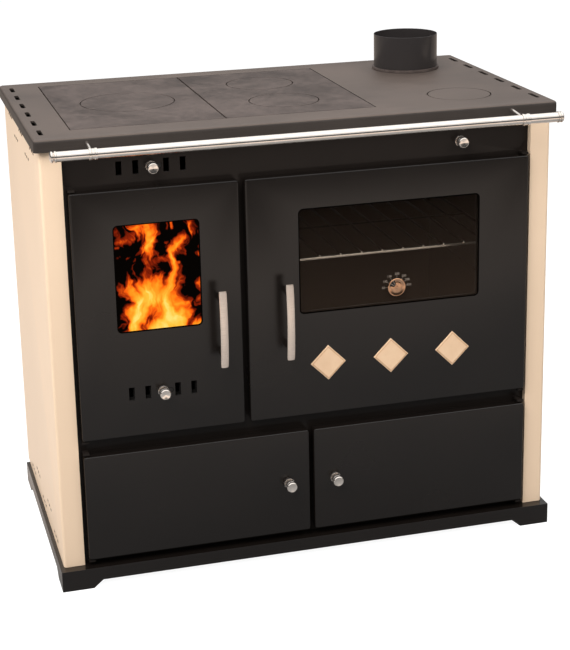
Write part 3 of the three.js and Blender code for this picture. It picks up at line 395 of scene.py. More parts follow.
class Nodes:
    """Short names for building the node tree of a material or of the world."""

    def __init__(self, owner, shader="Principled BSDF", place="Object"):
        self.owner = owner
        owner.use_nodes = True
        self.tree = owner.node_tree
        self.shader = self.tree.nodes[shader]
        self.place = self.new("ShaderNodeTexCoord").outputs[place]

    def new(self, kind, **values):
        node = self.tree.nodes.new(kind)
        for name, value in values.items():
            self.feed(node.inputs[name.replace("_", " ")], value)
        return node

    def feed(self, socket, value):
        """A socket takes what another gives, a number or a colour."""
        if isinstance(value, bpy.types.NodeSocket):
            self.tree.links.new(value, socket)
        elif socket.type == "RGBA":
            socket.default_value = (*value, 1)
        else:
            socket.default_value = value

    def feed_all(self, sockets, values):
        for socket, value in zip(sockets, values):
            self.feed(socket, value)

    def set(self, **values):
        for name, value in values.items():
            self.feed(self.shader.inputs[name.replace("_", " ")], value)

    def axes(self, vector=None):
        return self.new("ShaderNodeSeparateXYZ", Vector=vector or self.place).outputs

    def stretched(self, scale, turn=(0, 0, 0), vector=None):
        rotation = [math.radians(a) for a in turn]
        mapping = self.new("ShaderNodeMapping", Vector=vector or self.place, Scale=scale, Rotation=rotation)
        return mapping.outputs["Vector"]

    def noise(self, scale, detail=3, roughness=0.5, where=None, distortion=0):
        values = {"Scale": scale, "Detail": detail, "Roughness": roughness, "Distortion": distortion}
        return self.new("ShaderNodeTexNoise", Vector=where or self.place, **values).outputs["Fac"]

    def math(self, operation, first, second=0.0):
        node = self.new("ShaderNodeMath")
        node.operation = operation
        self.feed_all(node.inputs, (first, second))
        return node.outputs["Value"]

    def spread(self, value, low, high, start=0.0, end=1.0):
        bounds = {"From_Min": low, "From_Max": high, "To_Min": start, "To_Max": end}
        return self.new("ShaderNodeMapRange", Value=value, **bounds).outputs["Result"]

    def mix(self, share, first, second):
        node = self.new("ShaderNodeMix")
        node.data_type = "RGBA"
        self.feed(node.inputs["Factor"], share)
        self.feed_all((s for s in node.inputs if s.type == "RGBA"), (first, second))
        return next(s for s in node.outputs if s.type == "RGBA")

    def between(self, noise, first, second):
        """From one number or colour to another over the values that a noise mostly takes."""
        if isinstance(first, tuple):
            return self.mix(self.spread(noise, *noise_span), first, second)
        return self.spread(noise, *noise_span, first, second)

    def ramp(self, value, stops):
        """Colours, or brightness, over positions from 0 to 1."""
        node = self.new("ShaderNodeValToRGB", Fac=value)
        elements = node.color_ramp.elements
        while len(elements) < len(stops):
            elements.new(1)
        for element, (position, colour) in zip(elements, stops):
            element.position = position
            element.color = (*colour, 1) if isinstance(colour, tuple) else (colour, colour, colour, 1)
        return node.outputs["Color"]

    def bump(self, height, strength, distance, under=None):
        node = self.new("ShaderNodeBump", Strength=strength, Distance=distance, Height=height)
        if under is not None:
            self.feed(node.inputs["Normal"], under)
        return node.outputs["Normal"]

    def reflected(self):
        """1 for a ray that a gloss or a glass sends on, and 0 for all others."""
        path = self.new("ShaderNodeLightPath").outputs
        return self.math("MAXIMUM", path["Is Glossy Ray"], path["Is Transmission Ray"])

    def seen_by(self, for_camera, for_reflections, for_light):
        """A strength that depends on whether the camera, a reflection or plain light asks for it."""
        path = self.new("ShaderNodeLightPath").outputs
        others = self.spread(self.reflected(), 0, 1, for_light, for_reflections)
        return self.spread(path["Is Camera Ray"], 0, 1, others, for_camera)


def finish(name):
    """Fills a material with the function below, and keeps it under the function's name."""
    def keep(fill):
        def make(*colour):
            g = Nodes(bpy.data.materials.new(name))
            fill(g, *colour)
            return g.owner

        finishes[fill.__name__] = make()
        return make

    return keep


def tinted(colour, share):
    return tuple(c * share for c in colour)


@finish("satin black paint")
def black_paint(g, colour=(0.0068, 0.005, 0.0041)):
    """Heat-resistant satin paint with a fine sprayed grain."""
    cloud = g.noise(5, 4)
    grain = g.noise(1400, 2)
    tone = g.between(cloud, tinted(colour, 0.85), tinted(colour, 1.15))
    tone = g.mix(g.spread(grain, 0.45, 0.75, 0, 0.35), tone, tinted(colour, 1.9))
    g.set(Base_Color=tone, Roughness=g.between(cloud, 0.22, 0.28), Specular_IOR_Level=0.46)
    g.set(Normal=g.bump(grain, 0.35, fine_grain))


@finish("gloss black paint")
def gloss_black(g):
    """The glossier black of the frame behind the doors."""
    colour = (0.0145, 0.0112, 0.0095)
    cloud = g.noise(4, 4)
    peel = g.noise(220, 2, 0.4)
    tone = g.between(cloud, tinted(colour, 0.85), tinted(colour, 1.15))
    g.set(Base_Color=tone, Roughness=g.between(cloud, 0.14, 0.2), Specular_IOR_Level=0.14)
    g.set(Normal=g.bump(peel, 0.06, soft_peel))


@finish("near-black shade paint")
def matt_black(g):
    """Matt black, darker than the doors' paint, for the frames that clamp the glass and the bands in the
    windows' recesses: partly their own black, partly painted shade.
    """
    grain = g.noise(900, 3)
    tone = g.mix(g.spread(grain, 0.4, 0.7), (0.001, 0.0008, 0.0007), (0.002, 0.0016, 0.0014))
    g.set(Base_Color=tone, Roughness=0.8, Specular_IOR_Level=0.02, Normal=g.bump(grain, 0.3, fine_grain))


def slot_walls(g):
    """1 on the walls of the louvres' slots, which face along the panel, and 0 on its faces: where the
    slots' painted shade goes.
    """
    facts = g.new("ShaderNodeNewGeometry").outputs
    along = g.math("LESS_THAN", g.math("ABSOLUTE", g.axes(facts["Normal"])["X"]), edge_on)
    behind_pillar = g.math("GREATER_THAN", g.axes(facts["Position"])["Y"], slots_start)
    return g.math("MULTIPLY", along, behind_pillar)


@finish("cream enamel")
def cream_enamel(g):
    """Stove enamel: glossy, with a slight orange peel, and painted shade on the walls of the louvres'
    slots.
    """
    colour = (0.85, 0.635, 0.45)
    cloud = g.noise(3, 3)
    peel = g.noise(160, 2, 0.4)
    specks = g.noise(900, 2)
    tone = g.between(cloud, tinted(colour, 0.97), tinted(colour, 1.02))
    tone = g.mix(g.spread(specks, 0.66, 0.78, 0, 0.2), tone, tinted(colour, 0.8))
    # Painted shade: the walls of the louvres' slots are made near black
    tone = g.mix(slot_walls(g), tone, slot_shade_colour)
    g.set(Base_Color=tone, Roughness=0.3, Specular_IOR_Level=0.16, Coat_Weight=0.06, Coat_Roughness=0.08)
    g.set(Normal=g.bump(peel, 0.08, peel_depth))


@finish("dark ground steel")
def hob_steel(g, colour=(0.092, 0.071, 0.06)):
    """Ground steel, darkened by heat, with faint grinding lines along the hob. A darker colour gives the
    copy that paints shade on the skirt.
    """
    cloud = g.noise(4, 5, 0.6)
    lines = g.noise(1, 3, where=g.stretched((9, 900, 900)))
    grain = g.noise(700, 2)
    tone = g.between(cloud, tinted(colour, 0.8), tinted(colour, 1.25))
    tone = g.mix(g.spread(lines, 0.4, 0.7, 0, 0.3), tone, tinted(colour, 1.7))
    g.set(Base_Color=tone, Metallic=0.25, Roughness=g.between(cloud, 0.42, 0.55))
    g.set(Specular_IOR_Level=0.35, Normal=g.bump(grain, 0.2, fine_grain, g.bump(lines, 0.15, fine_grain)))


@finish("mottled cast iron")
def cast_iron(g):
    """Ground cast iron, mottled in warm greys, with pores."""
    light, dark = (0.104, 0.0805, 0.0715), (0.041, 0.0315, 0.028)
    patches = g.noise(7, 6, 0.65, distortion=0.6)
    mottle = g.noise(75, 5, 0.7)
    pores = g.noise(1000, 2)
    share = g.math("ADD", g.math("MULTIPLY", patches, 0.6), g.math("MULTIPLY", mottle, 0.4))
    tone = g.ramp(share, [(0.38, dark), (0.47, (0.064, 0.0495, 0.0437)), (0.6, light)])
    tone = g.mix(g.spread(pores, 0.62, 0.75, 0, 0.5), tone, tinted(dark, 0.6))
    g.set(Base_Color=tone, Metallic=0.1, Roughness=g.between(mottle, 0.5, 0.68), Specular_IOR_Level=0.22)
    g.set(Normal=g.bump(pores, 0.25, fine_grain, g.bump(mottle, 0.12, soft_peel)))


@finish("chrome")
def chrome(g):
    """Polished chrome with hairline wear."""
    wear = g.noise(40, 4)
    lines = g.noise(1, 2, where=g.stretched((30, 1500, 1500)))
    tone = g.between(wear, (0.8, 0.73, 0.66), (0.9, 0.83, 0.77))
    g.set(Base_Color=tone, Metallic=0.94, Roughness=g.between(wear, 0.06, 0.11))
    g.set(Normal=g.bump(lines, 0.03, hairline))


@finish("plated wire")
def rack_steel(g):
    """Plated wire, duller than chrome."""
    wear = g.noise(120, 4)
    tone = g.between(wear, (0.84, 0.7, 0.55), (0.96, 0.82, 0.66))
    g.set(Base_Color=tone, Metallic=0.9, Roughness=g.between(wear, 0.14, 0.22))
    g.set(Normal=g.bump(wear, 0.05, wear_depth))


@finish("satin steel")
def satin_steel(g):
    """Fine satin steel with a grain across the handle."""
    cloud = g.noise(25, 3)
    lines = g.noise(1, 3, where=g.stretched((60, 60, 2600)))
    tone = g.mix(g.spread(lines, 0.35, 0.65), (0.68, 0.56, 0.47), (0.86, 0.73, 0.63))
    g.set(Base_Color=tone, Metallic=0.6, Roughness=g.between(cloud, 0.3, 0.38))
    g.set(Normal=g.bump(lines, 0.12, hairline))


@finish("shaded rack wire")
def browned_wire(g):
    """Rack wire painted near black: painted shade for the wires inside the dark oven."""
    wear = g.noise(150, 4)
    tone = g.between(wear, (0.005, 0.003, 0.002), (0.011, 0.0068, 0.0043))
    g.set(Base_Color=tone, Metallic=0.3, Roughness=0.5, Specular_IOR_Level=0.2)


@finish("heat-darkened steel")
def inner_steel(g):
    """Matt, heat-darkened sheet with a little soot."""
    cloud = g.noise(12, 6, 0.65)
    grain = g.noise(500, 3)
    soot, sheet, rust = (0.02, 0.018, 0.017), (0.045, 0.041, 0.038), (0.07, 0.058, 0.048)
    tone = g.ramp(cloud, [(0.3, soot), (0.55, sheet), (0.75, rust)])
    g.set(Base_Color=tone, Metallic=0.3, Roughness=g.between(cloud, 0.55, 0.8))
    g.set(Normal=g.bump(grain, 0.3, wear_depth))


@finish("oven enamel")
def oven_enamel(g):
    """Dark brown gloss enamel with pale flecks."""
    cloud = g.noise(8, 3)
    flecks = g.noise(1100, 1)
    tone = g.between(cloud, (0.05, 0.032, 0.02), (0.066, 0.043, 0.028))
    tone = g.mix(g.spread(flecks, 0.7, 0.8, 0, 0.15), tone, (0.12, 0.09, 0.07))
    g.set(Base_Color=tone, Roughness=0.45, Specular_IOR_Level=0.3, Normal=g.bump(cloud, 0.1, ripple_depth))


@finish("smoked glass")
def glass(g):
    """Dark heat-proof glass that lets some light through. Its colour is painted lighter towards the bottom
    and darker at the top: painted shading.
    """
    shade_wobble = g.noise(6, 4)
    low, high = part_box("oven_door_glass")
    height = g.math("ADD", g.axes()["Z"], g.between(shade_wobble, 0, shade_wobble_height))
    # Painted shading: the glass's colour goes from lighter at the bottom to darker at the top
    tone = g.mix(g.spread(height, low.z, high.z), (0.07, 0.046, 0.032), (0.008, 0.004, 0.002))
    g.set(Base_Color=tone, Alpha=0.18, Roughness=0.04, Specular_IOR_Level=0.12)


@finish("fireclay")
def fireclay(g):
    """Firebrick: rough, sandy, with pale grog and soot."""
    cloud = g.noise(14, 5, 0.6)
    sand = g.noise(420, 4, 0.7)
    grog = g.new("ShaderNodeTexVoronoi", Vector=g.place, Scale=240)
    tone = g.between(cloud, (0.4, 0.28, 0.17), (0.52, 0.39, 0.26))
    tone = g.mix(g.spread(grog.outputs["Distance"], 0.0, 0.25, 0.5, 0), tone, (0.62, 0.52, 0.4))
    g.set(Base_Color=tone, Roughness=0.92, Normal=g.bump(sand, 0.6, peel_depth))


@finish("woven rope")
def gasket(g):
    """Woven glass-fibre rope."""
    strands = []
    for turn in (45, -45):
        turned_place = g.stretched((1, 1, 1), (0, turn, 0))
        wave = g.new("ShaderNodeTexWave", Vector=turned_place, Scale=130, Distortion=0.4)
        strands.append(wave.outputs["Fac"])
    weave = g.math("MAXIMUM", *strands)
    tone = g.mix(weave, (0.16, 0.145, 0.125), (0.36, 0.335, 0.3))
    g.set(Base_Color=tone, Roughness=0.95, Sheen_Weight=0.2, Normal=g.bump(weave, 0.6, weave_depth))


@finish("turned copper")
def copper(g):
    """Copper, turned on a lathe: fine rings round the dial's middle."""
    dial = middle_of("thermometer_disc")
    across = g.math("SUBTRACT", g.axes()["X"], dial.x)
    up = g.math("SUBTRACT", g.axes()["Z"], dial.z)
    squares = [g.math("MULTIPLY", part, part) for part in (across, up)]
    radius = g.math("SQRT", g.math("ADD", *squares))
    rings = g.math("SINE", g.math("MULTIPLY", radius, turning_rings))
    cloud = g.noise(90, 3)
    tone = g.between(cloud, (0.46, 0.25, 0.145), (0.66, 0.4, 0.25))
    g.set(Base_Color=tone, Metallic=1.0, Roughness=0.2, Normal=g.bump(rings, 0.1, turning_depth))


@finish("cream glaze")
def glazed_tile(g):
    """Cream glaze with faint craquelure."""
    cloud = g.noise(60, 3)
    cracks = g.new("ShaderNodeTexVoronoi", Vector=g.place, Scale=220)
    cracks.feature = "DISTANCE_TO_EDGE"
    tone = g.between(cloud, (0.83, 0.555, 0.345), (0.88, 0.61, 0.39))
    tone = g.mix(g.spread(cracks.outputs["Distance"], 0.0, 0.02, 0.12, 0), tone, (0.5, 0.33, 0.18))
    g.set(Base_Color=tone, Roughness=0.22, Coat_Weight=0.4, Coat_Roughness=0.05)
    g.set(Normal=g.bump(cloud, 0.12, peel_depth))


@finish("darker groove glaze")
def glaze_line(g):
    """A darker, browner tone on the faces of a tile's groove."""
    cloud = g.noise(60, 3)
    tone = g.between(cloud, (0.52, 0.29, 0.14), (0.62, 0.37, 0.2))
    g.set(Base_Color=tone, Roughness=0.3)


# Every CAD node gets its slot's material. Those that stay visible keep it.
for node, solid in frame["nodes"].items():
    for holder in solid.material_slots:
        holder.link = "OBJECT"
        holder.material = finishes[node_slots[node]]


# Pieces whose form is right: the same form with softened edges
sheet_pieces = (
    "plinth", "side_panel_left", "side_panel_right", "rear_panel", "front_frame", "fire_door_liner",
    "oven_door_liner", "fire_window_frame", "oven_window_frame", "ash_pan_grip", "primary_air_plate",
    "secondary_air_plate", "ash_pan",
)
heavy_pieces = ("grate_bed", "fire_grate", "firebrick_left", "firebrick_right", "firebrick_back")
# The window frames get the near-black paint: partly their own black, partly painted shade in the windows'
# recesses
special_finishes = {
    "front_frame": "gloss_black", "fire_window_frame": "matt_black", "oven_window_frame": "matt_black",
}
for nodes, width in ((sheet_pieces, fine_edge), (heavy_pieces, cast_edge)):
    for node in nodes:
        special = finishes.get(special_finishes.get(node))
        soften(stand_in(node, copied(node), material=special), width)


# Hob

def make_hob_top():
    low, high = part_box("hob_top")
    sheet_bottom = high.z - hob_sheet
    through = (sheet_bottom - cut_overrun, high.z + cut_overrun)
    radii = (hob_corner_radius, hob_edge_radius)
    top = folded((low.xy, high.xy), "z", high.z, low.z, radii, (skirt_sheet, hob_sheet))
    plates_low, plates_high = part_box("hob_plate_left")[0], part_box("hob_plate_middle")[1]
    lid, lid_radius = middle_of("cleaning_lid"), half_width("cleaning_lid")
    cuts = [
        block(
            (plates_low.x - lid_gap, plates_low.y - lid_gap, through[0]),
            (plates_high.x + lid_gap, plates_high.y + lid_gap, through[1]),
        ),
        hole(lid, lid_radius + lid_gap, through),
        hole(middle_of("flue_pipe"), half_width("flue_pipe"), through),
    ]
    slot_low = low.y + edge_slot_margin
    slot_pitch = (high.y - low.y - 2 * edge_slot_margin) / (edge_slot_count - 1)
    for x in (low.x + edge_slot_inset, high.x - edge_slot_inset):
        for i in range(edge_slot_count):
            middle = (x, slot_low + i * slot_pitch)
            slot = centred(middle, (edge_slot_width, edge_slot_length), edge_slot_radius)
            cuts.append(slab(slot, "z", *through))
    ledge_ends = (sheet_bottom - lid_ledge_sheet, sheet_bottom)
    ledge = upright(ring_section(lid_radius - lid_lip, lid_radius + lid_lip, *ledge_ends), lid, closed=True)
    whole = stand_in("hob_top", joined([cut(top, cuts), ledge]), smooth=30)
    # Painted shade: the hob's upright faces get a darker copy of its steel
    whole.data.materials.append(hob_steel(skirt_shade_colour))
    for face in whole.data.polygons:
        face.material_index = 1 if abs(face.normal.z) < edge_on else 0
    soften(whole, fine_edge)


def make_lid(node, lip):
    """A round lid. Its lower half is narrower by the lip that it hangs on."""
    low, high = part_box(node)
    radius, step = half_width(node), (low.z + high.z) / 2 + sheet_gap
    profile = [(radius, low.z), (radius, high.z)]
    if lip:
        profile = [(radius - lip, low.z), (radius - lip, step), (radius, step), (radius, high.z)]
    soften(stand_in(node, upright(profile, middle_of(node), large_segments), smooth=30), fine_edge)


def make_plate(node, lids):
    low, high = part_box(node)
    step = (low.z + high.z) / 2
    cuts = []
    for lid in lids:
        radius = half_width(lid) + lid_gap
        stages = [(radius - lid_lip, low.z - cut_overrun), (radius - lid_lip, step)]
        stages += [(radius, step), (radius, high.z + cut_overrun)]
        cuts.append(upright(stages, middle_of(lid), large_segments))
    soften(stand_in(node, cut(block(low, high), cuts), smooth=30), fine_edge)


make_hob_top()
for lid in ("lid_left", "lid_back", "lid_front"):
    make_lid(lid, lid_lip)
make_lid("cleaning_lid", 0)
make_plate("hob_plate_left", ["lid_left"])
make_plate("hob_plate_middle", ["lid_back", "lid_front"])


# Flue
pipe_sheet = 0.0015
collar_sheet = 0.0025
flange_thickness = 0.005
flue_fillet = 0.0005
pipe_colour = (0.026, 0.0225, 0.0218)


def make_flue():
    low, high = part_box("flue_pipe")
    middle, radius = middle_of("flue_pipe"), half_width("flue_pipe")
    inner = radius - pipe_sheet
    pipe = fillet(ring_section(inner, radius, low.z, high.z), flue_fillet, True)
    pipe = upright(pipe, middle, large_segments, closed=True)
    stand_in("flue_pipe", pipe, material=black_paint(pipe_colour))
    outer, flange = inner - sheet_gap, half_width("flue_collar")
    bore, flange_top = outer - collar_sheet, low.z - sheet_gap
    flange_bottom = flange_top - flange_thickness
    low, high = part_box("flue_collar")
    collar = [
        (bore, low.z), (outer, low.z), (outer, flange_bottom), (flange, flange_bottom),
        (flange, flange_top), (outer, flange_top), (outer, high.z), (bore, high.z),
    ]
    collar = fillet(collar, flue_fillet, True)
    stand_in("flue_collar", upright(collar, middle, large_segments, closed=True))


make_flue()


# Doors
window_frame_width = 0.012
# A near-black band in each window's recess paints its shade
recess_shade_width = 0.0023
recess_shade_depth = 0.0012


def window_of(prefix):
    """The corners of a door's window, which its window frame is wider than by its own width."""
    low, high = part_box(prefix + "_window_frame")
    width = window_frame_width
    return (low.x + width, low.z + width), (high.x - width, high.z - width)


def make_glass_bead(prefix):
    """A near-black band between a window's edge and its glass: painted shade in the window's recess."""
    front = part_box(prefix + "_door_panel")[0].y + recess_shade_depth
    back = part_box(prefix + "_door_glass")[0].y
    loops = []
    for inset, y in ((0, back), (0, front), (recess_shade_width, front), (recess_shade_width, back)):
        loops.append(laid(inset_outline(*window_of(prefix), inset, window_corner_radius), "y", y))
    shade_band = skin(loops, closed=True)
    piece(prefix + "_glass_bead", shade_band, prefix + "_door", "black_paint", material=finishes["matt_black"])


def make_door(node, openings, hinge):
    """A folded panel with outlines cut through its face and a hole for its pins at one side."""
    low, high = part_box(node)
    hinge_x = low.x + hinge_inset if hinge < 0 else high.x - hinge_inset
    axis = Vector((hinge_x, low.y + hinge_depth, 0))
    heights = (low.z - cut_overrun, high.z + cut_overrun)
    cuts = [hole(axis, pin_hole_radius, heights, post_segments)]
    for outline in openings:
        cuts.append(slab(outline, "y", low.y - cut_overrun, low.y + door_sheet + cut_overrun))
    radii, sheets = (door_corner_radius, door_edge_radius), (door_sheet, door_sheet)
    panel = folded((low.xz, high.xz), "y", low.y, high.y, radii, sheets)
    soften(stand_in(node, cut(panel, cuts), smooth=32), fine_edge)


def air_openings():
    """The fire door's air slots and the slot that its slider's knob runs in."""
    low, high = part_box("fire_door_panel")
    x, z = (low.x + high.x) / 2, middle_of("primary_air_knob").z
    reach = knob_slot_reach
    run = rounded_outline((x - reach, z - reach), (x + reach + slider_travel, z + reach), reach - fine_edge)
    return [centred((x + offset, z), air_slot_size, fine_edge) for offset in air_slot_offsets] + [run]


def make_doors():
    for prefix, hinge, more in (("fire", -1, air_openings()), ("oven", 1, [])):
        window = rounded_outline(*window_of(prefix), window_corner_radius)
        make_door(prefix + "_door_panel", [window, *more], hinge)
        make_glass_bead(prefix)
    make_door("storage_door_left", [], -1)
    make_door("storage_door_right", [], 1)


make_doors()


# Rope seals of the two upper doors
seal_width = 0.008
seal_corner_radius = 0.014


def make_seal(node):
    low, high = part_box(node)
    half_depth, middle_y = (high.y - low.y) / 2, (high.y + low.y) / 2
    loops = []
    for i in range(wire_segments):
        angle = 2 * math.pi * i / wire_segments
        inset = seal_width / 2 * (1 + math.cos(angle))
        outline = inset_outline(low.xz, high.xz, inset, seal_corner_radius)
        loops.append(laid(outline, "y", middle_y + half_depth * math.sin(angle)))
    stand_in(node, skin(loops, closed=True), smooth=60)


make_seal("fire_door_seal")
make_seal("oven_door_seal")


# Handles: a bowed bar with a crowned face, on two posts
handle_sheet = 0.005
handle_crown = 0.0022
handle_bow = 0.005
handle_post_radius = 0.005
handle_post_inset = 0.02
handle_end_radius = 0.0006
handle_steps = 28
crown_steps = 8


def handle_section(reach, front, back):
    """A bar's section seen from above: a crowned front and a flat back with softened corners."""
    points = []
    for i in range(crown_steps + 1):
        share = -1 + 2 * i / crown_steps
        points.append((share * reach, front + handle_crown * share**2))
    return fillet([*points, (reach, back), (-reach, back)], broken_edge, True)


def make_handle(node):
    low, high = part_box(node)
    middle, half_height = middle_of(node), (high.z - low.z) / 2
    loops = []
    for i in range(handle_steps + 1):
        share = -1 + 2 * i / handle_steps
        z = middle.z + share * half_height
        front = low.y + handle_bow * share**2
        from_end = (1 - abs(share)) * half_height
        squeeze = max(0, 1 - from_end / handle_end_radius)
        inset = handle_end_radius * (1 - math.sqrt(1 - squeeze**2)) if squeeze else 0
        section = handle_section(half_width(node) - inset, front + inset / 2, front + handle_sheet)
        loops.append([Vector((middle.x + u, v, z)) for u, v in section])
    posts = []
    for side in (-1, 1):
        z = middle.z + side * (half_height - handle_post_inset)
        start, end = (middle.x, low.y + handle_sheet, z), (middle.x, high.y, z)
        posts.append(rod(start, end, handle_post_radius, post_segments))
    stand_in(node, skin(loops), smooth=40)
    piece(node + "_posts", joined(posts), frame["nodes"][node]["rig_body"], "black_paint", smooth=40)


make_handle("fire_door_handle")
make_handle("oven_door_handle")


# Knobs: a base ring, a neck and a round head
knob_neck_radius = 0.006
knob_foot_share = 0.9
knob_ring = 0.004
knob_neck = 0.006
knob_chamfer = 0.0015
knob_groove = 0.0006
knob_dish = 0.0018
knob_stem_radius = 0.0035


def make_knob(node, face_y):
    """face_y is where the knob's base ring stands."""
    low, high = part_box(node)
    middle, radius = middle_of(node), half_width(node)
    back, front = face_y, low.y
    neck_end = back - knob_ring - knob_neck
    head_middle = (neck_end + front) / 2
    profile = [
        (radius * knob_foot_share, back), (radius, back), (radius, back - knob_ring),
        (knob_neck_radius, back - knob_ring), (knob_neck_radius, neck_end), (radius, neck_end),
        (radius, head_middle + knob_groove), (radius - knob_groove, head_middle),
        (radius, head_middle - knob_groove), (radius, front + knob_chamfer),
        (radius - knob_chamfer, front), (fine_edge, front + knob_dish),
    ]
    parts = [turned(fillet(profile, fine_edge), "y", (middle.x, 0, middle.z))]
    if high.y > back + sheet_gap:
        parts.append(rod((middle.x, back, middle.z), (middle.x, high.y, middle.z), knob_stem_radius))
    stand_in(node, joined(parts), smooth=40)


door_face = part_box("oven_door_panel")[0].y
frame_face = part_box("damper_knob")[1].y
for node in ("primary_air_knob", "storage_knob_left", "storage_knob_right"):
    make_knob(node, door_face - sheet_gap)
for node in ("secondary_air_knob", "damper_knob"):
    make_knob(node, frame_face)


# Towel rail
rail_sheet = 0.0012
collar_groove = 0.0008
cap_neck = 0.0022
cap_groove_share = 0.25
ball_steps = 14
bracket_rod_radius = 0.003
bracket_arm_slope = 5.5


def make_rail():
    low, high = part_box("towel_rail")
    middle, radius = middle_of("towel_rail"), (high.z - low.z) / 2
    centre = (0, middle.y, middle.z)
    tube = ring_section(radius - rail_sheet, radius, low.x, high.x)
    stand_in("towel_rail", turned(tube, "x", centre, closed=True))
    for side, name in ((-1, "left"), (1, "right")):
        make_rail_cap("rail_cap_" + name, side, centre, radius, high.x)
        make_rail_bracket("rail_bracket_" + name, centre, radius)


def make_rail_cap(node, side, centre, rail_radius, rail_end):
    low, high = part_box(node)
    cap_radius = (high.z - low.z) / 2
    outer = max(abs(low.x), abs(high.x))
    start, plug = rail_end + sheet_gap, min(abs(low.x), abs(high.x))
    plug_radius = rail_radius - rail_sheet - sheet_gap
    groove = start + (outer - start) * cap_groove_share
    profile = fillet([
        (plug_radius, plug), (plug_radius, start), (cap_radius, start), (cap_radius, groove),
        (cap_radius - cap_neck, groove + collar_groove),
    ], broken_edge)
    ball_start = groove + 2 * collar_groove
    first_turn = math.acos(1 - cap_neck / cap_radius)
    ball_length = (outer - ball_start) / (1 + math.sin(first_turn))
    for step in range(ball_steps + 1):
        turn = -first_turn + (math.pi / 2 + first_turn) * step / ball_steps
        radius = max(cap_radius * math.cos(turn), fine_edge)
        profile.append((radius, outer - ball_length + ball_length * math.sin(turn)))
    stand_in(node, turned([(r, side * along) for r, along in profile], "x", centre), smooth=40)


def make_rail_bracket(node, centre, rail_radius):
    low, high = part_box(node)
    collar_radius, bore = (high.z - low.z) / 2, rail_radius + sheet_gap
    third = (high.x - low.x) / 3
    collar = [
        (bore, low.x), (collar_radius, low.x), (collar_radius, low.x + third - collar_groove),
        (collar_radius - collar_groove, low.x + third), (collar_radius - collar_groove, high.x - third),
        (collar_radius, high.x - third + collar_groove), (collar_radius, high.x), (bore, high.x),
    ]
    ring = turned(fillet(collar, fine_edge, True), "x", centre, closed=True)
    slope = math.radians(bracket_arm_slope)
    root = Vector((middle_of(node).x, *centre[1:]))
    along = Vector((0, math.cos(slope), math.sin(slope)))
    reach = (high.y - root.y - bracket_rod_radius * along.z) / along.y
    arm = rod(root + along * bore, root + along * reach, bracket_rod_radius, post_segments)
    stand_in(node, joined([ring, arm]), smooth=40)


make_rail()


# Oven rack
rack_wire = 0.003
rack_bar = 0.0022
rack_wires = 11


def make_rack():
    """The front wire and the bars' ends are plated and bright. The wires behind them are painted near
    black: painted shade inside the oven.
    """
    low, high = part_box("oven_rack")
    z, bar_z = low.z + rack_wire, high.z - rack_bar
    x = (low.x + rack_wire, high.x - rack_wire)
    front, back = low.y + rack_wire, high.y - rack_wire
    bright = [rod((x[0], front, z), (x[1], front, z), rack_wire)]
    shaded_wires = [rod((side, low.y, z), (side, high.y, z), rack_wire) for side in x]
    shaded_wires.append(rod((x[0], back, z), (x[1], back, z), rack_wire))
    pitch = (x[1] - x[0]) / (rack_wires + 1)
    bar_front, bar_start = front - rack_bar, front + rack_bar
    for i in range(1, rack_wires + 1):
        bar_x = x[0] + i * pitch
        bright.append(rod((bar_x, bar_front, bar_z), (bar_x, bar_start, bar_z), rack_bar))
        shaded_wires.append(rod((bar_x, bar_start, bar_z), (bar_x, back, bar_z), rack_bar))
    middle_y, cross_z = (low.y + high.y) / 2, z + rack_wire - rack_bar
    shaded_wires.append(rod((x[0], middle_y, cross_z), (x[1], middle_y, cross_z), rack_bar))
    # Painted shade: the wires behind the front one are made near black
    stand_in("oven_rack", joined(shaded_wires), smooth=50, material=finishes["browned_wire"])
    body, slot = frame["nodes"]["oven_rack"]["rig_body"], node_slots["oven_rack"]
    piece("oven_rack_front_wire", joined(bright), body, slot, smooth=50, material=finishes["rack_steel"])


make_rack()


# Diamond tiles: a flat face, a fine groove, and a rim that slopes to the edge
tile_rim = 0.0042
tile_groove_width = 0.0018
tile_groove_depth = 0.0009
tile_slope = 0.0006


def make_tile(node):
    low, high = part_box(node)
    middle, reach = middle_of(node), half_width(node)

    def diamond(inset, y):
        corners = [(reach - inset, 0), (0, reach - inset), (inset - reach, 0), (0, inset - reach)]
        points = fillet(corners, broken_edge, True)
        return [Vector((middle.x + u, y, middle.z + v)) for u, v in points]

    groove_middle, edge = tile_rim - tile_groove_width / 2, low.y + tile_slope
    loops = [
        diamond(tile_rim, low.y), diamond(groove_middle, low.y + tile_groove_depth),
        diamond(tile_rim - tile_groove_width, low.y), diamond(fine_edge, edge),
        diamond(0, edge + fine_edge), diamond(0, high.y),
    ]
    tile = stand_in(node, skin(loops), smooth=20)
    # The groove's faces get the darker, browner tone
    tile.data.materials.append(finishes["glaze_line"])
    groove_faces = 2 * len(loops[0])
    for face in tile.data.polygons[:groove_faces]:
        face.material_index = 1


for number in (1, 2, 3):
    make_tile(f"tile_{number}")


# Thermometer
dial_rim = 0.002
dial_fillet = 0.0002
dial_bevel = 0.00013
dish_radius = 0.0112
dish_depth_share = 0.75
hub_radius = 0.003
hub_depth_share = 0.25
hub_radii_shares = (0.7, 1 / 3)
sight_radii = (0.0048, 0.0028)  # inside, and from the dial's edge
sight_directions = (107, 168)
sight_steps = 12
sight_ribs = (119, 147)
rib_width = 0.0006
scale_radius = 0.025
scale_numbers = (50, 100, 150, 200, 250, 300, 350)
scale_directions = (180, 151, 122, 86, 53, 29, 4)
number_height = 0.0062
tick_radii = (0.0165, 0.0218)
film_thickness = 0.00008


def polar(radius, degrees):
    angle = math.radians(degrees)
    return radius * math.cos(angle), radius * math.sin(angle)


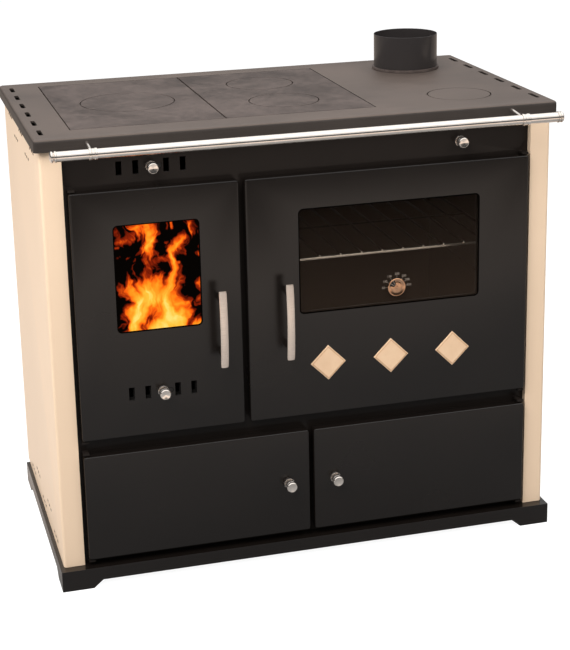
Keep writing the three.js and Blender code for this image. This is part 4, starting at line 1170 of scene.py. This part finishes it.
def make_thermometer():
    node = "thermometer_disc"
    front, back = (corner.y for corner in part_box(node))
    middle, radius = middle_of(node), half_width(node)
    rise = back - front
    dish, hub = front + rise * dish_depth_share, front + rise * hub_depth_share
    profile = [
        (radius, back), (radius, back - rise / 2), (radius - dial_rim / 2, front),
        (radius - dial_rim, front), (dish_radius, dish), (dish_radius - dial_rim, (front + dish) / 2),
        (hub_radius, hub), *((hub_radius * share, front) for share in hub_radii_shares),
    ]
    disc = turned(fillet(profile, dial_fillet), "y", (middle.x, 0, middle.z), large_segments)
    inner, outer = sight_radii[0], radius - sight_radii[1]
    start, end = sight_directions
    arc = [start + (end - start) * i / sight_steps for i in range(sight_steps + 1)]
    fan = [polar(outer, a) for a in arc] + [polar(inner, a) for a in reversed(arc)]
    fan = [(middle.x + u, middle.z + v) for u, v in fan]
    sight = slab(fan, "y", front - cut_overrun, back + cut_overrun)
    soften(stand_in(node, cut(disc, [sight]), smooth=30), dial_bevel)


def ray(centre, degrees, radii, width, y):
    """A thin flat line that points away from a centre."""
    start, end = (Vector(polar(r, degrees)) for r in radii)
    side = Vector(polar(width / 2, degrees + 90))
    corners = [start - side, end - side, end + side, start + side]
    outline = [(centre.x + p.x, centre.z + p.y) for p in corners]
    return slab(outline, "y", y - film_thickness, y)


def number_mesh(text, x, y, z):
    letters = bpy.data.curves.new("number", "FONT")
    letters.body = text
    letters.size = number_height
    letters.align_x = letters.align_y = "CENTER"
    letters.extrude = film_thickness / 2
    holder = linked("number", letters)
    mesh = evaluated(holder)
    bpy.data.objects.remove(holder)
    mesh.transform(Matrix.Translation((x, y, z)) @ Matrix.Rotation(math.pi / 2, 4, "X"))
    return mesh


@finish("dial print")
def scale_print(g):
    """Grey print on glass, a little uneven."""
    wear = g.noise(900, 3)
    tone = g.between(wear, (0.24, 0.19, 0.15), (0.36, 0.29, 0.235))
    g.set(Base_Color=tone, Roughness=0.6)


def make_dial_scale():
    dial = middle_of("thermometer_disc")
    glass_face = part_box("oven_door_glass")[0].y
    ink = finishes["scale_print"]
    marks = [ray(dial, a, tick_radii, rib_width, glass_face) for a in scale_directions]
    for number, direction in zip(scale_numbers, scale_directions):
        u, v = polar(scale_radius, direction)
        marks.append(number_mesh(str(number), dial.x + u, glass_face - film_thickness / 2, dial.z + v))
    piece("dial_scale", joined(marks), "oven_door", "satin_steel", smooth=30, material=ink)
    base_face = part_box("thermometer_base")[0].y
    radii = (hub_radius, half_width("thermometer_disc") - dial_rim)
    ribs = [ray(dial, a, radii, rib_width, base_face) for a in sight_ribs]
    piece("dial_sight_lines", joined(ribs), "oven_door", "satin_steel", smooth=30, material=ink)


make_thermometer()
make_dial_scale()


# A glowing picture of flames on the fire door's glass: painted light, glowing though it is no lamp
flame_overlap = 0.004
flame_warp_scale = 17
flame_warp = (0.09, 0, 0.09)
flame_squeeze = (30, 30, 13)
flame_sides = 0.2
flame_heights = (0.7, 0.4)
flame_contrast = 1.9
flame_stops = (
    (0.36, (0.0004, 0.0002, 0.0001)), (0.44, (0.25, 0.015, 0.002)), (0.52, (0.85, 0.1, 0.004)),
    (0.62, (1.0, 0.27, 0.011)), (0.78, (1.0, 0.5, 0.045)), (0.98, (1.0, 0.78, 0.22)),
)


@finish("glowing flames")
def flame_print(g):
    """Flames from stretched, warped noise that thins out upwards, set glowing: painted firelight."""
    low, high = window_of("fire")
    across = g.spread(g.axes()["X"], low[0], high[0], -1, 1)
    up = g.spread(g.axes()["Z"], low[1], high[1])
    warp = g.new("ShaderNodeTexNoise", Vector=g.place, Scale=flame_warp_scale, Detail=3)
    bent = g.new("ShaderNodeVectorMath")
    bent.operation = "MULTIPLY_ADD"
    g.feed_all(bent.inputs, (warp.outputs["Color"], flame_warp, g.place))
    tongues = g.noise(1, 4, where=g.stretched(flame_squeeze, vector=bent.outputs["Vector"]))
    side = g.math("MULTIPLY", g.math("MULTIPLY", across, across), flame_sides)
    body = g.math("SUBTRACT", g.spread(up, 0, 1, *flame_heights), side)
    licks = g.math("MULTIPLY", g.math("SUBTRACT", tongues, 0.5), flame_contrast)
    tone = g.ramp(g.math("ADD", body, licks), flame_stops)
    g.set(Base_Color=(0.001, 0.0007, 0.0005), Roughness=0.25, Specular_IOR_Level=0.005)
    # Painted light: the flames glow by emission
    g.set(Emission_Color=tone, Emission_Strength=1.15)


def make_flame_print():
    glass_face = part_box("fire_door_glass")[0].y
    radius = window_corner_radius - flame_overlap
    outline = inset_outline(*window_of("fire"), -flame_overlap, radius)
    film = slab(outline, "y", glass_face - 2 * film_thickness, glass_face)
    glowing_film = piece("flame_print", film, "fire_door", "glass", smooth=30, material=finishes["flame_print"])
    film.materials.append(finishes["inner_steel"])
    for face in glowing_film.data.polygons:
        face.material_index = 0 if face.normal.y < -edge_on else 1


make_flame_print()


# Floor, lights and camera
floor_size = 40
camera_position = (-0.794, -3.006, 1.455)
camera_yaw, camera_pitch, camera_roll = 15.16, -16.24, -1.2
picture_height = 650
focal_pixels = 1651.6
sensor = 36
camera_shift = -0.12
lamps = (  # name, position, target, size, power
    ("key", (-1.5, -1.8, 2.8), (0, 0, 0.6), (2.2, 2.2), 111),
    ("fill", (1.8, -2.1, 2.4), (0.2, 0, 0.5), (2.2, 2.2), 46),
    ("side", (-3.2, 0.6, 1.0), (-0.4, 0.2, 0.3), (2.4, 2.4), 50),
    ("top", (0.5, 1.2, 2.9), (0, 0, 0.8), (2.4, 1.8), 40),
)
floor_colour = (0.26, 0.26, 0.26)
mirrored_floor = (1.0, 0.8, 0.66)
mirrored_reach = 8
mirrored_stops = (
    (0.0, 0.45), (0.49, 0.45), (0.52, 0.0), (0.568, 0.03), (0.6, 0.28), (0.63, 0.8), (0.71, 0.85),
    (0.76, 0.03),
)
floor_glow = 0.95
world_light = 0.3
sky_light = 1.5
sky_stops = ((0.02, 0.02), (0.24, 0.03), (0.36, 0.5), (0.6, 0.65), (0.78, 1.0), (1.0, 0.9))


def make_floor():
    """White to the camera, with the object's shadow. Reflections see it brighten before the object."""
    mesh = bpy.data.meshes.new("floor")
    half = floor_size / 2
    corners = [(-half, -half, 0), (half, -half, 0), (half, half, 0), (-half, half, 0)]
    mesh.from_pydata(corners, [], [range(4)])
    g = Nodes(bpy.data.materials.new("white floor"))
    mirrored = g.ramp(g.spread(g.axes()["Y"], mirrored_reach, -mirrored_reach), mirrored_stops)
    g.set(Base_Color=floor_colour, Roughness=0.9, Specular_IOR_Level=0)
    g.set(Emission_Color=g.mix(g.reflected(), (1, 1, 1), mirrored_floor))
    g.set(Emission_Strength=g.seen_by(floor_glow, mirrored, 0))
    mesh.materials.append(g.owner)
    floor = linked("floor", mesh)


def make_world():
    """White to the camera. Reflections see a studio: dark round the horizon and right overhead."""
    g = Nodes(bpy.data.worlds.new("studio"), "Background", "Generated")
    sky = g.spread(g.ramp(g.axes()["Z"], sky_stops), 0, 1, 0, sky_light)
    g.set(Color=(1, 1, 1), Strength=g.seen_by(1, sky, world_light))
    bpy.context.scene.world = g.owner


def make_lamp(name, position, target, size, power):
    """A soft lamp. Reflections see the sky's bright band in its place."""
    lamp = bpy.data.lights.new(name, "AREA")
    lamp.shape = "RECTANGLE"
    lamp.size, lamp.size_y = size
    lamp.energy = power
    holder = linked(name, lamp)
    holder.visible_glossy = False
    holder.location = position
    direction = Vector(target) - Vector(position)
    holder.rotation_euler = direction.to_track_quat("-Z", "Y").to_euler()


def make_camera():
    camera = bpy.data.cameras.new("camera")
    camera.sensor_width = sensor
    camera.lens = focal_pixels / picture_height * sensor
    camera.shift_y = camera_shift
    camera.clip_end = floor_size * 2
    holder = linked("camera", camera)
    yaw, pitch, roll = (math.radians(a) for a in (camera_yaw, camera_pitch, camera_roll))
    forward = Vector((math.sin(yaw) * math.cos(pitch), math.cos(yaw) * math.cos(pitch), math.sin(pitch)))
    level = Vector((math.cos(yaw), -math.sin(yaw), 0))
    upright = level.cross(forward)
    right = math.cos(roll) * level + math.sin(roll) * upright
    up = -math.sin(roll) * level + math.cos(roll) * upright
    turn = Matrix((right, up, -forward)).transposed().to_4x4()
    holder.matrix_world = Matrix.Translation(camera_position) @ turn
    bpy.context.scene.camera = holder


make_floor()
make_world()
make_camera()
for lamp in lamps:
    make_lamp(*lamp)
bpy.context.scene.view_settings.view_transform = "Standard"
